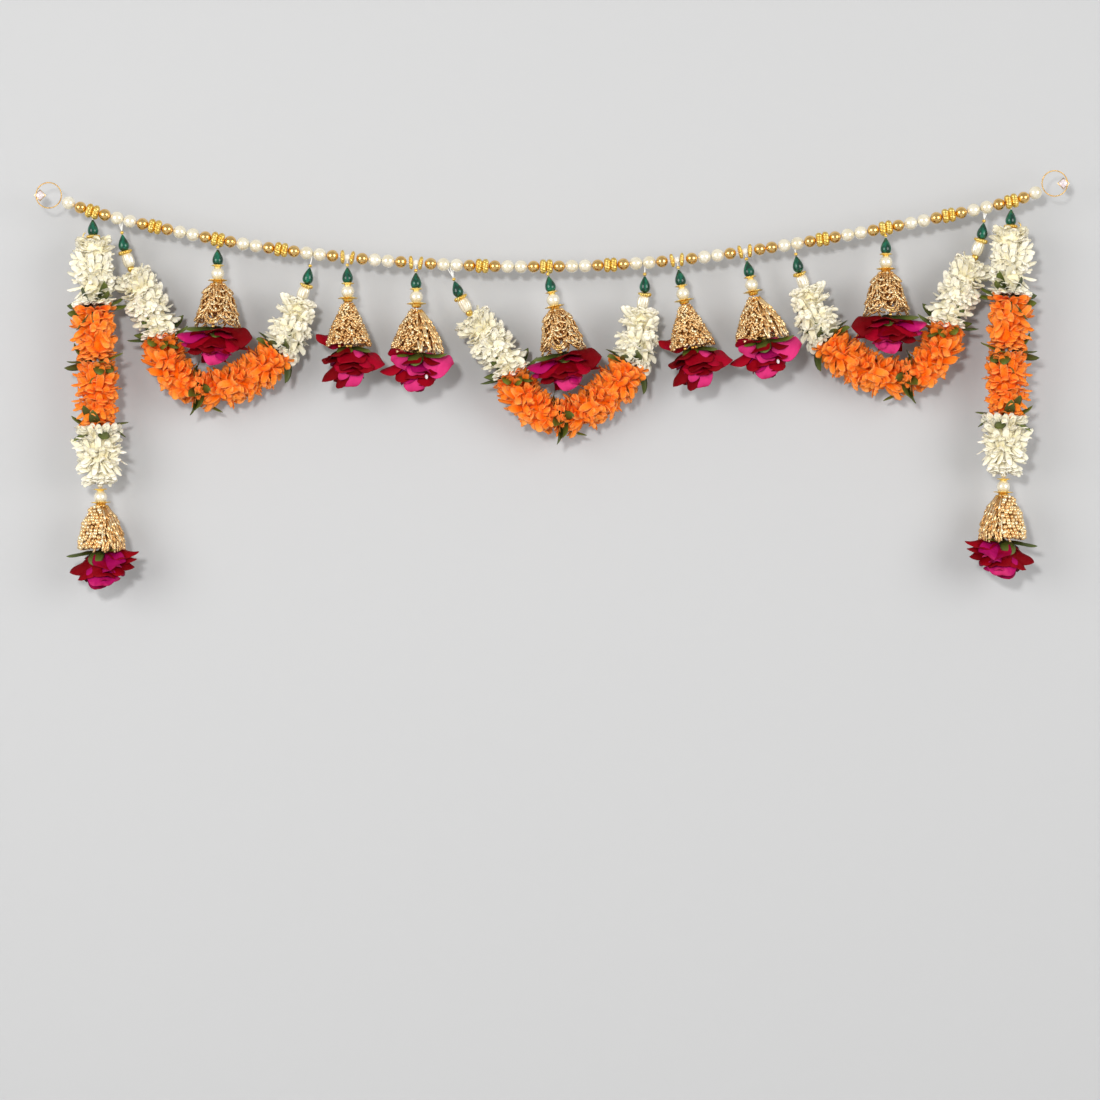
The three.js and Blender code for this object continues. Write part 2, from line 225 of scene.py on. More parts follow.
def tube(path, radius, sides=8):
    """A round tube along a path of points, closed at both ends; radius may change along it."""
    path = np.asarray(path, float)
    tangent = np.gradient(path, axis=0)
    tangent /= np.linalg.norm(tangent, axis=1, keepdims=True)
    side = np.cross(tangent, [0.0, 1.0, 0.13])
    side /= np.linalg.norm(side, axis=1, keepdims=True)
    other = np.cross(tangent, side)
    angle = (np.arange(sides) * 2 * math.pi / sides)[None, :, None]
    reach = np.broadcast_to(radius, len(path))[:, None, None]
    rows = path[:, None] + reach * (np.cos(angle) * side[:, None] + np.sin(angle) * other[:, None])
    quads, triangles = ring_faces(len(path), sides)
    return Surface(np.vstack([path[:1], rows.reshape(-1, 3), path[-1:]]), quads, triangles)


def at_place(surface, place, across=0.0, towards=0.0):
    """A surface moved along the thread."""
    return Surface(surface.points + [across, towards, place], surface.quads, surface.triangles,
                   **surface.values)


def petals(rng, place, angle, length, width, lift, curl, start=2 * MM, roll=0.0, bow=0.5,
           ruffle=0.0, crease=0.0, shape=(0.6, 0.7), rows=7, sides=8, thickness=0.17 * MM, flare=0.0):
    """Petals as thin closed shells, all at once, in thread coordinates.

    Each midline leaves the thread at its angle and its start radius. Its slope runs from lift by
    curl (and flare times the square of the share along it), from outward towards the thread's end.
    The width along it is share**shape[0] * (1 - share)**shape[1], scaled to a largest value of 1.
    Across it the petal is an arc of half-angle bow, hollow side towards +place, turned by roll."""
    place, angle, length, width, lift, curl, start, roll, bow, ruffle, crease, flare = (
        np.broadcast_to(np.asarray(v, float), np.shape(place))[:, None, None]
        for v in (place, angle, length, width, lift, curl, start, roll, bow, ruffle, crease, flare))
    t = (1 - np.cos(np.linspace(0.06, 1, rows) * math.pi))[None, :, None] / 2
    t = 0.35 * t + 0.65 * np.linspace(0.02, 0.995, rows)[None, :, None]
    slope = lift + curl * t + flare * t**2
    step = np.diff(t, axis=1, prepend=0)
    mean = slope - np.diff(slope, axis=1, prepend=lift) / 2
    out = start + length * np.cumsum(np.cos(mean) * step, axis=1)
    down = length * np.cumsum(np.sin(mean) * step, axis=1)
    peak = shape[0] / (shape[0] + shape[1])
    full = peak**shape[0] * (1 - peak)**shape[1]
    half = width / 2 * np.maximum(t**shape[0] * (1 - t)**shape[1] / full, 0.05)
    ring = (np.arange(sides) * 2 * math.pi / sides)[None, None, :]
    x = np.cos(ring)
    arc = np.maximum(np.abs(bow), 1e-3) * np.sign(bow + 1e-9)
    wave = ruffle * x**2 * np.sin(9 * t + 7 * angle + 2.2 * x)
    lateral = half * np.sin(arc * x) / arc
    raised = half * ((1 - np.cos(arc * x)) / arc + crease * np.abs(x) + wave)
    raised = raised + thickness * np.sin(ring) * np.sqrt(np.clip(1 - 0.6 * x**2, 0, 1))
    sideways = lateral * np.cos(roll) - raised * np.sin(roll)
    up = lateral * np.sin(roll) + raised * np.cos(roll)
    radial = out - up * np.sin(slope)
    along = down + up * np.cos(slope)
    points = np.stack([radial * np.cos(angle) - sideways * np.sin(angle),
                       radial * np.sin(angle) + sideways * np.cos(angle),
                       place + along], -1)
    count = len(points)
    base, tip = points[:, :1].mean(2), points[:, -1:].mean(2)
    points = np.concatenate([base, points.reshape(count, -1, 3), tip], 1)
    quads, triangles = ring_faces(rows, sides)
    size = points.shape[1]
    shift = (np.arange(count) * size)[:, None, None]
    share = np.concatenate([[0], np.repeat(t[0, :, 0], sides), [1]])
    edge = np.concatenate([[0], np.tile(np.abs(x[0, 0]), rows), [1]])
    return Surface(points, quads[None] + shift, triangles[None] + shift,
                   tint=np.repeat(rng.random(count), size), share=np.tile(share, count),
                   edge=np.tile(edge, count))


# ---------- making objects ----------
def make(name, surface, material, replaces=(), flat=False):
    """Puts a surface into a mesh with its values as attributes, and says what it rides on."""
    mesh = bpy.data.meshes.new(name)
    quads, triangles = surface.quads, surface.triangles
    corners = np.concatenate([quads.ravel(), triangles.ravel()]).astype(np.int32)
    starts = np.concatenate([np.arange(len(quads)) * 4,
                             len(quads) * 4 + np.arange(len(triangles)) * 3]).astype(np.int32)
    mesh.vertices.add(len(surface.points))
    mesh.vertices.foreach_set("co", surface.points.astype(np.float32).ravel())
    mesh.loops.add(len(corners))
    mesh.loops.foreach_set("vertex_index", corners)
    mesh.polygons.add(len(starts))
    mesh.polygons.foreach_set("loop_start", starts)
    mesh.update(calc_edges=True)
    for key, value in surface.values.items():
        layer = mesh.attributes.new(key, "FLOAT", "POINT")
        layer.data.foreach_set("value", np.ascontiguousarray(value, np.float32))
    if not flat:
        mesh.polygons.foreach_set("use_smooth", np.ones(len(starts), bool))
    mesh.materials.append(material)
    piece = bpy.data.objects.new(name, mesh)
    bpy.context.scene.collection.objects.link(piece)
    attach(piece, "root")
    if replaces:
        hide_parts(*replaces)
    return piece


# ---------- finishes ----------
def finish(name, **settings):
    """A material with a Principled shader whose own sockets hold the settings."""
    material = bpy.data.materials.new(name)
    material.use_nodes = True
    shader = material.node_tree.nodes["Principled BSDF"]
    for key, value in settings.items():
        shader.inputs[key.replace("_", " ")].default_value = value
    return material, material.node_tree, shader


def node(tree, kind, properties=(), **inputs):
    """A node with its properties and input values set. Underscores in input names are spaces."""
    made = tree.nodes.new(kind)
    for key, value in dict(properties).items():
        setattr(made, key, value)
    for key, value in inputs.items():
        socket = made.inputs[key.replace("_", " ")]
        if isinstance(value, bpy.types.NodeSocket):
            tree.links.new(value, socket)
        else:
            socket.default_value = value
    return made


def noise(tree, scale, detail=3.0, stretch=(1, 1, 1)):
    """Noise on the piece's own coordinates: scale is features to the metre."""
    place = node(tree, "ShaderNodeTexCoord")
    turned_place = node(tree, "ShaderNodeMapping", Vector=place.outputs["Object"], Scale=stretch)
    return node(tree, "ShaderNodeTexNoise", Vector=turned_place.outputs["Vector"],
                Scale=scale, Detail=detail)


def ramp(tree, factor, stops):
    """A colour ramp through (share, colour) stops."""
    made = node(tree, "ShaderNodeValToRGB", Fac=factor)
    elements = made.color_ramp.elements
    while len(elements) < len(stops):
        elements.new(0.5)
    for element, (share, colour) in zip(elements, stops):
        element.position, element.color = share, (*colour, 1)
    return made.outputs["Color"]


def mixed(tree, factor, first, second):
    """The first colour run into the second by the factor."""
    made = node(tree, "ShaderNodeMix", {"data_type": "RGBA"})
    for socket, value in zip((made.inputs[0], made.inputs[6], made.inputs[7]),
                             (factor, first, second)):
        if isinstance(value, bpy.types.NodeSocket):
            tree.links.new(value, socket)
        else:
            socket.default_value = value
    return made.outputs[2]


def maths(tree, operation, first, second):
    """One sum of two values."""
    made = node(tree, "ShaderNodeMath", {"operation": operation})
    for socket, value in zip(made.inputs, (first, second)):
        if isinstance(value, bpy.types.NodeSocket):
            tree.links.new(value, socket)
        else:
            socket.default_value = value
    return made.outputs[0]


def value_of(tree, name):
    """A value that the surface keeps at each point."""
    return node(tree, "ShaderNodeAttribute", {"attribute_name": name}).outputs["Fac"]


def bumped(tree, shader, height, distance):
    """Relief: full height stands a distance proud."""
    bump = node(tree, "ShaderNodeBump", Height=height, Distance=distance, Strength=1.0)
    tree.links.new(bump.outputs["Normal"], shader.inputs["Normal"])


def gilt_finish(name, bright, deep, roughness):
    """Gold plating: a polished metal with soft wear in its colour and roughness."""
    material, tree, shader = finish(name, Metallic=1.0, Roughness=roughness)
    wear = noise(tree, 220, 4).outputs["Fac"]
    colour = ramp(tree, wear, [(0.35, deep), (0.6, bright)])
    tree.links.new(colour, shader.inputs["Base Color"])
    rough = node(tree, "ShaderNodeMapRange", Value=wear, To_Min=roughness * 0.7, To_Max=roughness * 1.5)
    tree.links.new(rough.outputs["Result"], shader.inputs["Roughness"])
    bumped(tree, shader, noise(tree, 1500).outputs["Fac"], 0.02 * MM)
    return material


def pearl_finish():
    """Moulded pearl: cream nacre under a clear coat, with faint swirls."""
    material, tree, shader = finish(
        "pearl", Metallic=0.4, Roughness=0.25, Coat_Weight=1.0, Coat_Roughness=0.06,
        Coat_IOR=1.9)
    swirl = noise(tree, 130, 4).outputs["Fac"]
    colour = ramp(tree, swirl, [(0.3, (0.78, 0.68, 0.46)), (0.7, (0.92, 0.87, 0.72))])
    tree.links.new(colour, shader.inputs["Base Color"])
    return material


def teardrop_finish():
    """Deep green glass-like bead with paler veins."""
    material, tree, shader = finish(
        "green_bead", Roughness=0.12, Coat_Weight=0.4, Coat_Roughness=0.03, IOR=1.45)
    vein = noise(tree, 260, 5, (1, 1, 0.35)).outputs["Fac"]
    colour = ramp(tree, vein, [(0.42, (0.0, 0.03, 0.016)), (0.68, (0.0, 0.135, 0.07))])
    tree.links.new(colour, shader.inputs["Base Color"])
    return material


def champagne_finish():
    """Metallised seed beads: champagne gold, each bead its own shade; the darkest stop, given to the
    tassel's core, is painted shade between the beads.
    """
    material, tree, shader = finish("champagne_beads", Metallic=0.85, Roughness=0.19)
    # Tint 0, the darkest stop, is the painted shade of the core; other tints are each bead's own tone.
    colour = ramp(tree, value_of(tree, "tint"), [
        (0.0, (0.52, 0.25, 0.07)), (0.35, (0.84, 0.52, 0.22)), (0.75, (0.98, 0.72, 0.38)),
        (1.0, (1.0, 0.88, 0.60))])
    tree.links.new(colour, shader.inputs["Base Color"])
    bumped(tree, shader, noise(tree, 1800).outputs["Fac"], 0.05 * MM)
    return material


def petal_finish(name, stops, lit_edge_colour, sheen):
    """Dyed fabric petals, each petal its own shade, with painted shade deeper at the foot and painted
    light paler at the tip and along the side edges; faint weave and creases.
    """
    material, tree, shader = finish(
        name, Roughness=0.85, Specular_IOR_Level=0.1, Sheen_Weight=sheen, Sheen_Roughness=0.5,
        Subsurface_Weight=0.35, Subsurface_Scale=0.002, Subsurface_Radius=(1.0, 0.9, 0.8))
    share, tint = value_of(tree, "share"), value_of(tree, "tint")
    cloud = noise(tree, 190, 3).outputs["Fac"]
    # Painted shade and light: share darkens each petal's foot and pales its tip; tint and cloud are
    # each petal's own tone.
    position = maths(tree, "ADD", maths(tree, "MULTIPLY", share, 0.62),
                     maths(tree, "ADD", maths(tree, "MULTIPLY", tint, 0.28),
                           maths(tree, "MULTIPLY", maths(tree, "SUBTRACT", cloud, 0.5), 0.5)))
    colour = ramp(tree, position, stops)
    # Painted light: the side edges pale towards the lit edge colour, as light shows through the thin
    # cloth.
    rim = maths(tree, "MULTIPLY", maths(tree, "POWER", value_of(tree, "edge"), 4.0), 0.35)
    colour = mixed(tree, rim, colour, (*lit_edge_colour, 1))
    tree.links.new(colour, shader.inputs["Base Color"])
    cloth = maths(tree, "ADD", noise(tree, 2600, 2, (1, 1, 0.4)).outputs["Fac"],
                  maths(tree, "MULTIPLY", noise(tree, 420, 4, (1, 1, 0.5)).outputs["Fac"], 1.5))
    bumped(tree, shader, cloth, 0.12 * MM)
    return material


def rose_finish():
    """Two-tone satin: crimson petals, magenta where a petal's pink value is high with a painted
    highlight that brightens it towards the tip, dark rolled rims.
    """
    material, tree, shader = finish("rose_satin", Roughness=0.65, Specular_IOR_Level=0.1)
    tint, share = value_of(tree, "tint"), value_of(tree, "share")
    crimson = ramp(tree, tint, [(0.0, (0.13, 0.0, 0.002)), (0.6, (0.24, 0.0, 0.005)),
                                (1.0, (0.34, 0.001, 0.02))])
    soft = maths(tree, "SUBTRACT", noise(tree, 60, 2).outputs["Fac"], 0.5)
    pink = maths(tree, "ADD", value_of(tree, "pink"), maths(tree, "MULTIPLY", soft, 0.6))
    # Painted highlight: the magenta brightens towards each petal's tip.
    lit = maths(tree, "ADD", pink, maths(tree, "MULTIPLY", share, 0.3))
    magenta = ramp(tree, lit, [(0.6, (0.24, 0.0, 0.055)), (0.9, (0.38, 0.004, 0.10)),
                               (1.0, (0.60, 0.03, 0.16))])
    pink = node(tree, "ShaderNodeMapRange", Value=pink, From_Min=0.25, From_Max=0.5)
    colour = mixed(tree, pink.outputs["Result"], crimson, magenta)
    rim = maths(tree, "MULTIPLY", maths(tree, "POWER", share, 14.0), 0.75)
    colour = mixed(tree, rim, colour, (0.17, 0.0, 0.006, 1))
    tree.links.new(colour, shader.inputs["Base Color"])
    cloth = maths(tree, "ADD", noise(tree, 3000, 2, (1, 1, 0.4)).outputs["Fac"],
                  maths(tree, "MULTIPLY", noise(tree, 260, 4, (1, 1, 0.35)).outputs["Fac"], 2.0))
    folds = maths(tree, "MULTIPLY", noise(tree, 85, 2, (1, 1, 0.6)).outputs["Fac"], 20.0)
    bumped(tree, shader, maths(tree, "ADD", cloth, folds), 0.14 * MM)
    return material


def leaf_finish():
    """Waxed olive fabric leaves, each its own shade, with painted shade that makes them nearly black at
    the foot.
    """
    material, tree, shader = finish("leaf", Roughness=0.5, Coat_Weight=0.15, Coat_Roughness=0.3)
    # Painted shade: share runs from near-black at each leaf's foot to olive at its tip; tint is each
    # leaf's own tone.
    position = maths(tree, "ADD", maths(tree, "MULTIPLY", value_of(tree, "share"), 0.6),
                     maths(tree, "MULTIPLY", value_of(tree, "tint"), 0.45))
    colour = ramp(tree, position, [(0.1, (0.006, 0.010, 0.002)), (0.45, (0.035, 0.05, 0.005)),
                                   (0.95, (0.12, 0.15, 0.012))])
    tree.links.new(colour, shader.inputs["Base Color"])
    bumped(tree, shader, noise(tree, 700, 4).outputs["Fac"], 0.15 * MM)
    return material


def thread_finish():
    """White twisted cotton."""
    material, tree, shader = finish("thread", Roughness=0.85, Sheen_Weight=0.3)
    fibre = noise(tree, 1500, 3).outputs["Fac"]
    colour = ramp(tree, fibre, [(0.3, (0.68, 0.66, 0.60)), (0.7, (0.88, 0.87, 0.83))])
    tree.links.new(colour, shader.inputs["Base Color"])
    bumped(tree, shader, fibre, 0.1 * MM)
    return material


def stone_finish():
    """A clear cut stone with a breath of pink."""
    material, tree, shader = finish(
        "cut_stone", Roughness=0.05, IOR=1.6, Transmission_Weight=0.4, Coat_Weight=1.0)
    tone = ramp(tree, noise(tree, 400, 2).outputs["Fac"],
                [(0.3, (0.90, 0.74, 0.78)), (0.7, (0.98, 0.93, 0.93))])
    tree.links.new(tone, shader.inputs["Base Color"])
    return material


GOLD = gilt_finish("gilt", (0.93, 0.63, 0.24), (0.80, 0.47, 0.14), 0.13)
YELLOW_GOLD = gilt_finish("yellow_gilt", (1.0, 0.76, 0.24), (0.95, 0.56, 0.09), 0.28)
PEARL_COAT = pearl_finish()
GREEN = teardrop_finish()
CHAMPAGNE = champagne_finish()
# Petal ramps: the first stop is painted shade at the foot and the last is painted light at the tip; the
# colour after each ramp is painted light along the side edges.
CREAM = petal_finish("cream_petals", [
    (0.05, (0.80, 0.68, 0.36)), (0.35, (0.90, 0.82, 0.56)), (0.7, (0.94, 0.88, 0.68)),
    (0.98, (0.95, 0.88, 0.77))], (0.96, 0.89, 0.80), 0.06)
ORANGE = petal_finish("orange_petals", [
    (0.05, (0.72, 0.06, 0.0)), (0.35, (0.97, 0.15, 0.002)), (0.65, (1.0, 0.23, 0.02)),
    (0.95, (1.0, 0.33, 0.075))], (1.0, 0.32, 0.08), 0.04)
ROSE = rose_finish()
LEAF = leaf_finish()
COTTON = thread_finish()
STONE = stone_finish()


# ---------- camera ----------
def camera():
    """A long lens square to the wall. The garland hangs in the upper part of the square frame."""
    data = bpy.data.cameras.new("camera")
    data.lens = LENS
    data.clip_end = 100
    piece = bpy.data.objects.new("camera", data)
    bpy.context.scene.collection.objects.link(piece)
    piece.location = CAMERA_PLACE
    piece.rotation_euler = (math.pi / 2, 0, 0)
    bpy.context.scene.camera = piece


camera()

# ---------- threads ----------
STRING = Line([(x * MM, 0, z * MM) for x, z in STRING_ROUTE])


def cord_on(name, line, end):
    """A thread: a tube along the line from its start to a place."""
    path = line.point(np.linspace(0, end, max(12, int(end / (4 * MM)))))
    piece = make(name, tube(path, THREAD), COTTON)


def swag_line(middle, turn, hand):
    """The swag's route turned and mirrored about its middle, set back behind the string."""
    a = math.radians(turn)
    x, z = np.array(SWAG_ROUTE).T
    order = np.arange(len(x))
    back = SWAG_BACK * np.clip(np.minimum(order, order[::-1]) / 5, 0, 1)
    across = middle[0] + hand * (x * math.cos(a) - z * math.sin(a))
    up = middle[1] + x * math.sin(a) + z * math.cos(a)
    return Line(np.stack([across * MM, back, up * MM], -1), hand)


def plumb_line(start, lean, length, forward, hand=1):
    """A straight hanging thread that leans sideways and comes forward by its foot."""
    a = math.radians(lean)
    foot = start + np.array([math.sin(a) * length, -forward, -math.cos(a) * length])
    return Line(np.linspace(start, foot, 15), hand)


def bead_row():
    """The beads from ring to ring, their slots scaled to fill the string: (kind, middle place)."""
    kinds = ["pearl", "gilt"]
    for n in range(1, RONDELLES + 1):
        kinds.append("open" if n in OPEN_RONDELLES else "rondelle")
        kinds += ["gilt"] * (n == EXTRA_GILT_AFTER)
        kinds += ["gilt", "pearl", "pearl", "gilt"] if n < RONDELLES else ["gilt", "pearl"]
    width = {"pearl": PEARL, "gilt": GILT, "rondelle": RONDELLE_WIDTH, "open": OPEN_WIDTH}
    widths = np.array([width[k] for k in kinds])
    widths *= (STRING.length - 2 * STRING_SPARE) / widths.sum()
    return list(zip(kinds, STRING_SPARE + np.cumsum(widths) - widths / 2))


ROW = bead_row()
RONDELLE_PLACES = [place for kind, place in ROW if kind in ("rondelle", "open")]


# ---------- the bead string ----------
RUNS = {"left": (0, 25), "middle": (25, 51), "right": (51, 76)}  # first bead, bead past the last
ROPE_DISC = [(2.0, -3.1), (4.0, -3.0), (5.3, -2.4), (6.1, -1.2), (6.3, 0.0), (6.1, 1.2), (5.3, 2.4),
             (4.0, 3.0), (2.0, 3.1)]  # millimetres: half the outline of one rope-edged disc


def tilted(surface, degrees):
    """A surface turned about the axis towards the wall."""
    a = math.radians(degrees)
    turn = np.array([[math.cos(a), 0, math.sin(a)], [0, 1, 0], [-math.sin(a), 0, math.cos(a)]])
    return Surface(surface.points @ turn.T, surface.quads, surface.triangles, **surface.values)


def string_beads():
    """Balls and rope-edged discs on the string. A rondelle is two discs face to face, and an open
    one is two thinner discs that stand apart and lean away from each other."""
    disc = turned(np.array(ROPE_DISC) * MM, 90, lobes=15, depth=0.075, twist=150)
    pair = joined([at_place(disc, -3.05 * MM), at_place(disc, 3.05 * MM)])
    thin = Surface(disc.points * [0.95, 0.95, 0.6], disc.quads, disc.triangles)
    spread = joined([at_place(tilted(thin, 7), -4.4 * MM), at_place(tilted(thin, -6), 4.6 * MM)])
    shapes = {"pearl": ball(BEAD_FIT * PEARL), "gilt": ball(BEAD_FIT * GILT), "rondelle": pair,
              "open": spread}
    parts = (("pearls", ("pearl",), PEARL_COAT, "pearl"), ("gilt_beads", ("gilt",), GOLD, "gilt"),
             ("rondelles", ("rondelle", "open"), YELLOW_GOLD, "gilt"))
    for run, (first, last) in RUNS.items():
        for what, kinds, material, slot in parts:
            beads = [at_place(shapes[kind], place) for kind, place in ROW[first:last] if kind in kinds]
            make(f"{run}_{what}", joined(beads).bent(STRING), material,
                 replaces=[f"bead_run_{run}"] if what == "pearls" else ())


def open_knots():
    """The white thread that shows between the discs of each open rondelle."""
    knot = turned(np.array([(1.2, -2.6), (2.3, -2.0), (2.8, -0.8), (2.5, 0.3), (3.0, 1.2), (2.2, 2.2),
                            (1.2, 2.7)]) * MM, 16, lobes=4, depth=0.12, twist=150)
    knots = [at_place(knot, place) for kind, place in ROW if kind == "open"]
    make("open_rondelle_knots", joined(knots).bent(STRING), COTTON)


def rings():
    """Two wires twisted round each ring's circle, and a cut stone in a four-cornered setting."""
    off = 0.33 * MM
    cut = np.array([(1.6, -1.5), (3.8, -1.2), (5.0, 0.2), (3.9, 1.4), (2.3, 1.8)]) * MM
    collet = np.array([(1.5, -1.7), (4.3, -1.5), (5.6, 0.0), (5.4, 0.5), (3.7, -1.3), (1.5, -1.5)]) * MM
    upright = np.array([[[1, 0, 0], [0, 0, -1], [0, 1, 0]]])
    for side, sign in (("left", -1), ("right", 1)):
        centre = np.array([sign * RING_X, 0, sign * RING_RISE])
        turn = np.linspace(0, 2 * math.pi, 145)
        strands = []
        for phase in (0, math.pi):
            twist = RING_TWISTS * turn + phase
            r = RING_RADIUS + off * np.cos(twist)
            path = np.stack([r * np.cos(turn), off * np.sin(twist), r * np.sin(turn)], -1)
            strands.append(tube(centre + path, RING_WIRE, 6))
        make(f"{side}_ring_wire", joined(strands), GOLD, replaces=[f"{side}_ring"])
        place = [centre + [sign * (RING_RADIUS - 3.8 * MM), 0, 0]]
        make(f"{side}_cut_stone", repeated(turned(cut, 4), place, upright), STONE, flat=True)
        make(f"{side}_stone_setting", repeated(turned(collet, 4), place, upright), GOLD,
             flat=True)


# ---------- pieces on a hanging thread ----------
def teardrop(place):
    """Its radius is share**1.15 * (1 - share)**0.5, scaled: a cone above, round at its foot."""
    share = 0.5 - 0.5 * np.cos(np.linspace(0.16, 0.985, 24) * math.pi)
    radius = share**1.15 * (1 - share) ** 0.5
    outline = np.stack([TEARDROP * radius / radius.max(), share * TEARDROP_LENGTH], -1)
    return at_place(turned(outline, 28), place)


def flower_cap(place, radius, thickness, cup):
    """A flared plate with a small cup under it: a turned outline that swells on eight lobes."""
    r, t = radius, thickness
    outline = [(0.15 * r, -0.4 * t), (0.5 * r, 0.1 * t), (0.9 * r, -0.35 * t), (r, -0.1 * t),
               (0.93 * r, 0.25 * t), (0.55 * r, 0.6 * t), (0.5 * r, t), (0.45 * r, t + 0.7 * cup),
               (0.25 * r, t + cup)]
    return at_place(turned(outline, 48, lobes=8, depth=0.07), place)


def rope_cap(place, radius, thickness):
    """A cap like a ring of small balls: its outline is an arc of a circle, and it swells deeply on
    eight lobes."""
    a = np.linspace(-1.3, 1.3, 7)
    outline = np.stack([radius * (0.72 + 0.28 * np.cos(a)), thickness / 2 * np.sin(a) / 0.96], -1)
    outline = np.vstack([[0.3 * radius, -thickness / 2], outline, [0.3 * radius, thickness / 2]])
    return at_place(turned(outline, 48, lobes=8, depth=0.14), place)


def barrel(place, diameter, length):
    """A ridged barrel bead: its radius is cosine**0.45 from end to end, with ten ridges round it."""
    a = np.linspace(-1.15, 1.15, 9)
    outline = np.stack([diameter / 2 * np.cos(a) ** 0.45, length / 2 * np.sin(a) / 0.91], -1)
    return at_place(turned(outline, 60, lobes=10, depth=0.045), place)


def hung(name, line, surfaces, material, replaces=()):
    """One piece of surfaces in thread coordinates, bent onto the thread."""
    make(name, joined(surfaces).bent(line), material, replaces)


def toward(angle, down, out, swirl):
    """3x3 matrices that turn a bead's own third axis to the direction with these shares along the
    thread, outward, and round it, at each angle."""
    radial = np.stack([np.cos(angle), np.sin(angle), 0 * angle], -1)
    round_it = np.stack([-np.sin(angle), np.cos(angle), 0 * angle], -1)
    third = radial * out[:, None] + round_it * swirl[:, None] + [0, 0, 1] * down[:, None]
    third /= np.linalg.norm(third, axis=1, keepdims=True)
    first = np.cross(round_it, third)
    first /= np.linalg.norm(first, axis=1, keepdims=True)
    return np.stack([first, np.cross(third, first), third], -1)


def thread_fork(name, line, place):
    """The two ends of a swag's thread that part round the pearl above its first small bead."""
    down = np.linspace(0.5 * MM, place, 9)
    share = 1 - down / place
    ends = [tube(np.stack([side * 3.0 * MM * share, 0 * down - 0.6 * MM, down], -1), 0.4 * MM, 6)
            for side in (-1, 1)]
    hung(name, line, ends, COTTON)


def wire_hook(name, line, place):
    """A bent brass wire that stands out beside the first cap and curls back."""
    a = np.linspace(-0.5 * math.pi, 0.75 * math.pi, 15)
    path = np.stack([-(6.0 + 2.6 * np.cos(a)) * MM, 0 * a - 7 * MM, place + (4 + 4.5 * np.sin(a)) * MM],
                    -1)
    hung(name, line, [tube(path, 0.55 * MM, 8)], YELLOW_GOLD)


# ---------- tassels ----------
CHAINS, CHAIN_BEADS, LOOP_BEADS = 36, 17, 12
FESTOON_TIERS = (0.08, 0.22, 0.38, 0.55, 0.72, 0.84)  # share of the bell's length
BUGLE_TIERS = ((0.0, 0.28), (0.18, 0.46), (0.36, 0.66), (0.55, 0.84), (0.74, 1.03))
BUGLES = 34  # tubes in a tier, before the tiers' own shares
COLLAR_BEADS = 9
HEMS = {  # share of the length: share of the hem radius
    "looped": ([0, 0.12, 0.35, 0.7, 1], [0.3, 0.5, 0.72, 0.92, 1]),
    "curled": ([0, 0.12, 0.45, 0.85, 1], [0.2, 0.33, 0.64, 0.95, 1]),
    "bugle": ([0, 0.12, 0.4, 0.8, 1], [0.2, 0.34, 0.64, 0.94, 1]),
    "sequin": ([0, 0.1, 0.4, 0.75, 1], [0.24, 0.42, 0.76, 0.97, 1]),
}


def bent_tube(length, radius, bow, sides=6, rows=5):
    """A short tube bent to a parabola, centred on its own origin, its length along the third axis."""
    a = np.linspace(-0.5, 0.5, rows)
    return tube(np.stack([bow * (4 * a**2 - 0.5), 0 * a, length * a], -1), radius, sides)


def bell_radius(kind, share):
    """The hem radius times the bell's outline at this share of its length."""
    return BELLS[kind][1] * MM * np.interp(share, *HEMS[kind])


def on_bell(kind, share, angle, lift=0.0):
    """Points on the bell's outside, in thread coordinates."""
    top, _, length = (v * MM for v in BELLS[kind])
    r = bell_radius(kind, share) + lift
    return np.stack([r * np.cos(angle), r * np.sin(angle), top + length * share], -1)


def bead_rows(kind, pitch, step):
    """Evenly packed places on the bell: rows a step apart, beads a pitch apart round each row."""
    length = BELLS[kind][2] * MM
    shares = np.arange(0.05, 1.0, step / (length * 1.12))
    counts = np.maximum(3, np.round(2 * math.pi * bell_radius(kind, shares) / pitch).astype(int))
    share = np.repeat(shares, counts)
    order = np.concatenate([np.arange(n) for n in counts])
    angle = 2 * math.pi * (order + 0.5 * (np.repeat(np.arange(len(shares)), counts) % 2)) / (
        np.repeat(counts, counts))
    return share, angle


def tassel_core(kind, upto):
    """An inner cone that the beadwork hides, painted dark as shade between the beads."""
    share = np.linspace(0.0, upto, 8)
    top, _, length = (v * MM for v in BELLS[kind])
    return turned(np.stack([bell_radius(kind, share) * 0.8, top + share * length], -1), 24)


def looped_chains(kind, rng):
    """Close chains of seed beads down the bell, and festoons in tiers over them: each tier is half
    a loop on from the last. The chains stop short of the hem, where only loops hang."""
    bead = bent_tube(2.3 * MM, 0.98 * MM, 0.1 * MM, 6, 4)
    places, turns = [], []
    for k in range(CHAINS):
        share = np.linspace(0.02, 0.76 + 0.08 * rng.random(), CHAIN_BEADS)
        angle = (2 * math.pi * k / CHAINS + 0.15 * np.sin(7 * share + k)
                 + 0.02 * rng.standard_normal(CHAIN_BEADS))
        path = on_bell(kind, share, angle, -0.5 * MM + 1.2 * MM * np.sin(9 * share + 2 * k))
        places.append(path)
        turns.append(np.gradient(path, axis=0))
    for tier, share in enumerate(FESTOON_TIERS):
        loops = 7 + tier // 2
        v = (np.arange(LOOP_BEADS) + 0.5) / LOOP_BEADS
        sag = 4 * v * (1 - v)
        for k in range(loops):
            angle = 2 * math.pi * (k + v + 0.5 * (tier % 2)) / loops + 0.2 * rng.standard_normal()
            drop_share = share + (0.13 + 0.05 * rng.random()) * sag
            bulge = (1.0 + 2.4 * rng.random()) * MM * sag + 0.5 * MM * rng.random()
            path = on_bell(kind, np.minimum(drop_share, 1.03), angle, bulge)
            places.append(path)
            turns.append(np.gradient(path, axis=0))
    return beads_along(bead, np.concatenate(places), np.concatenate(turns), rng)


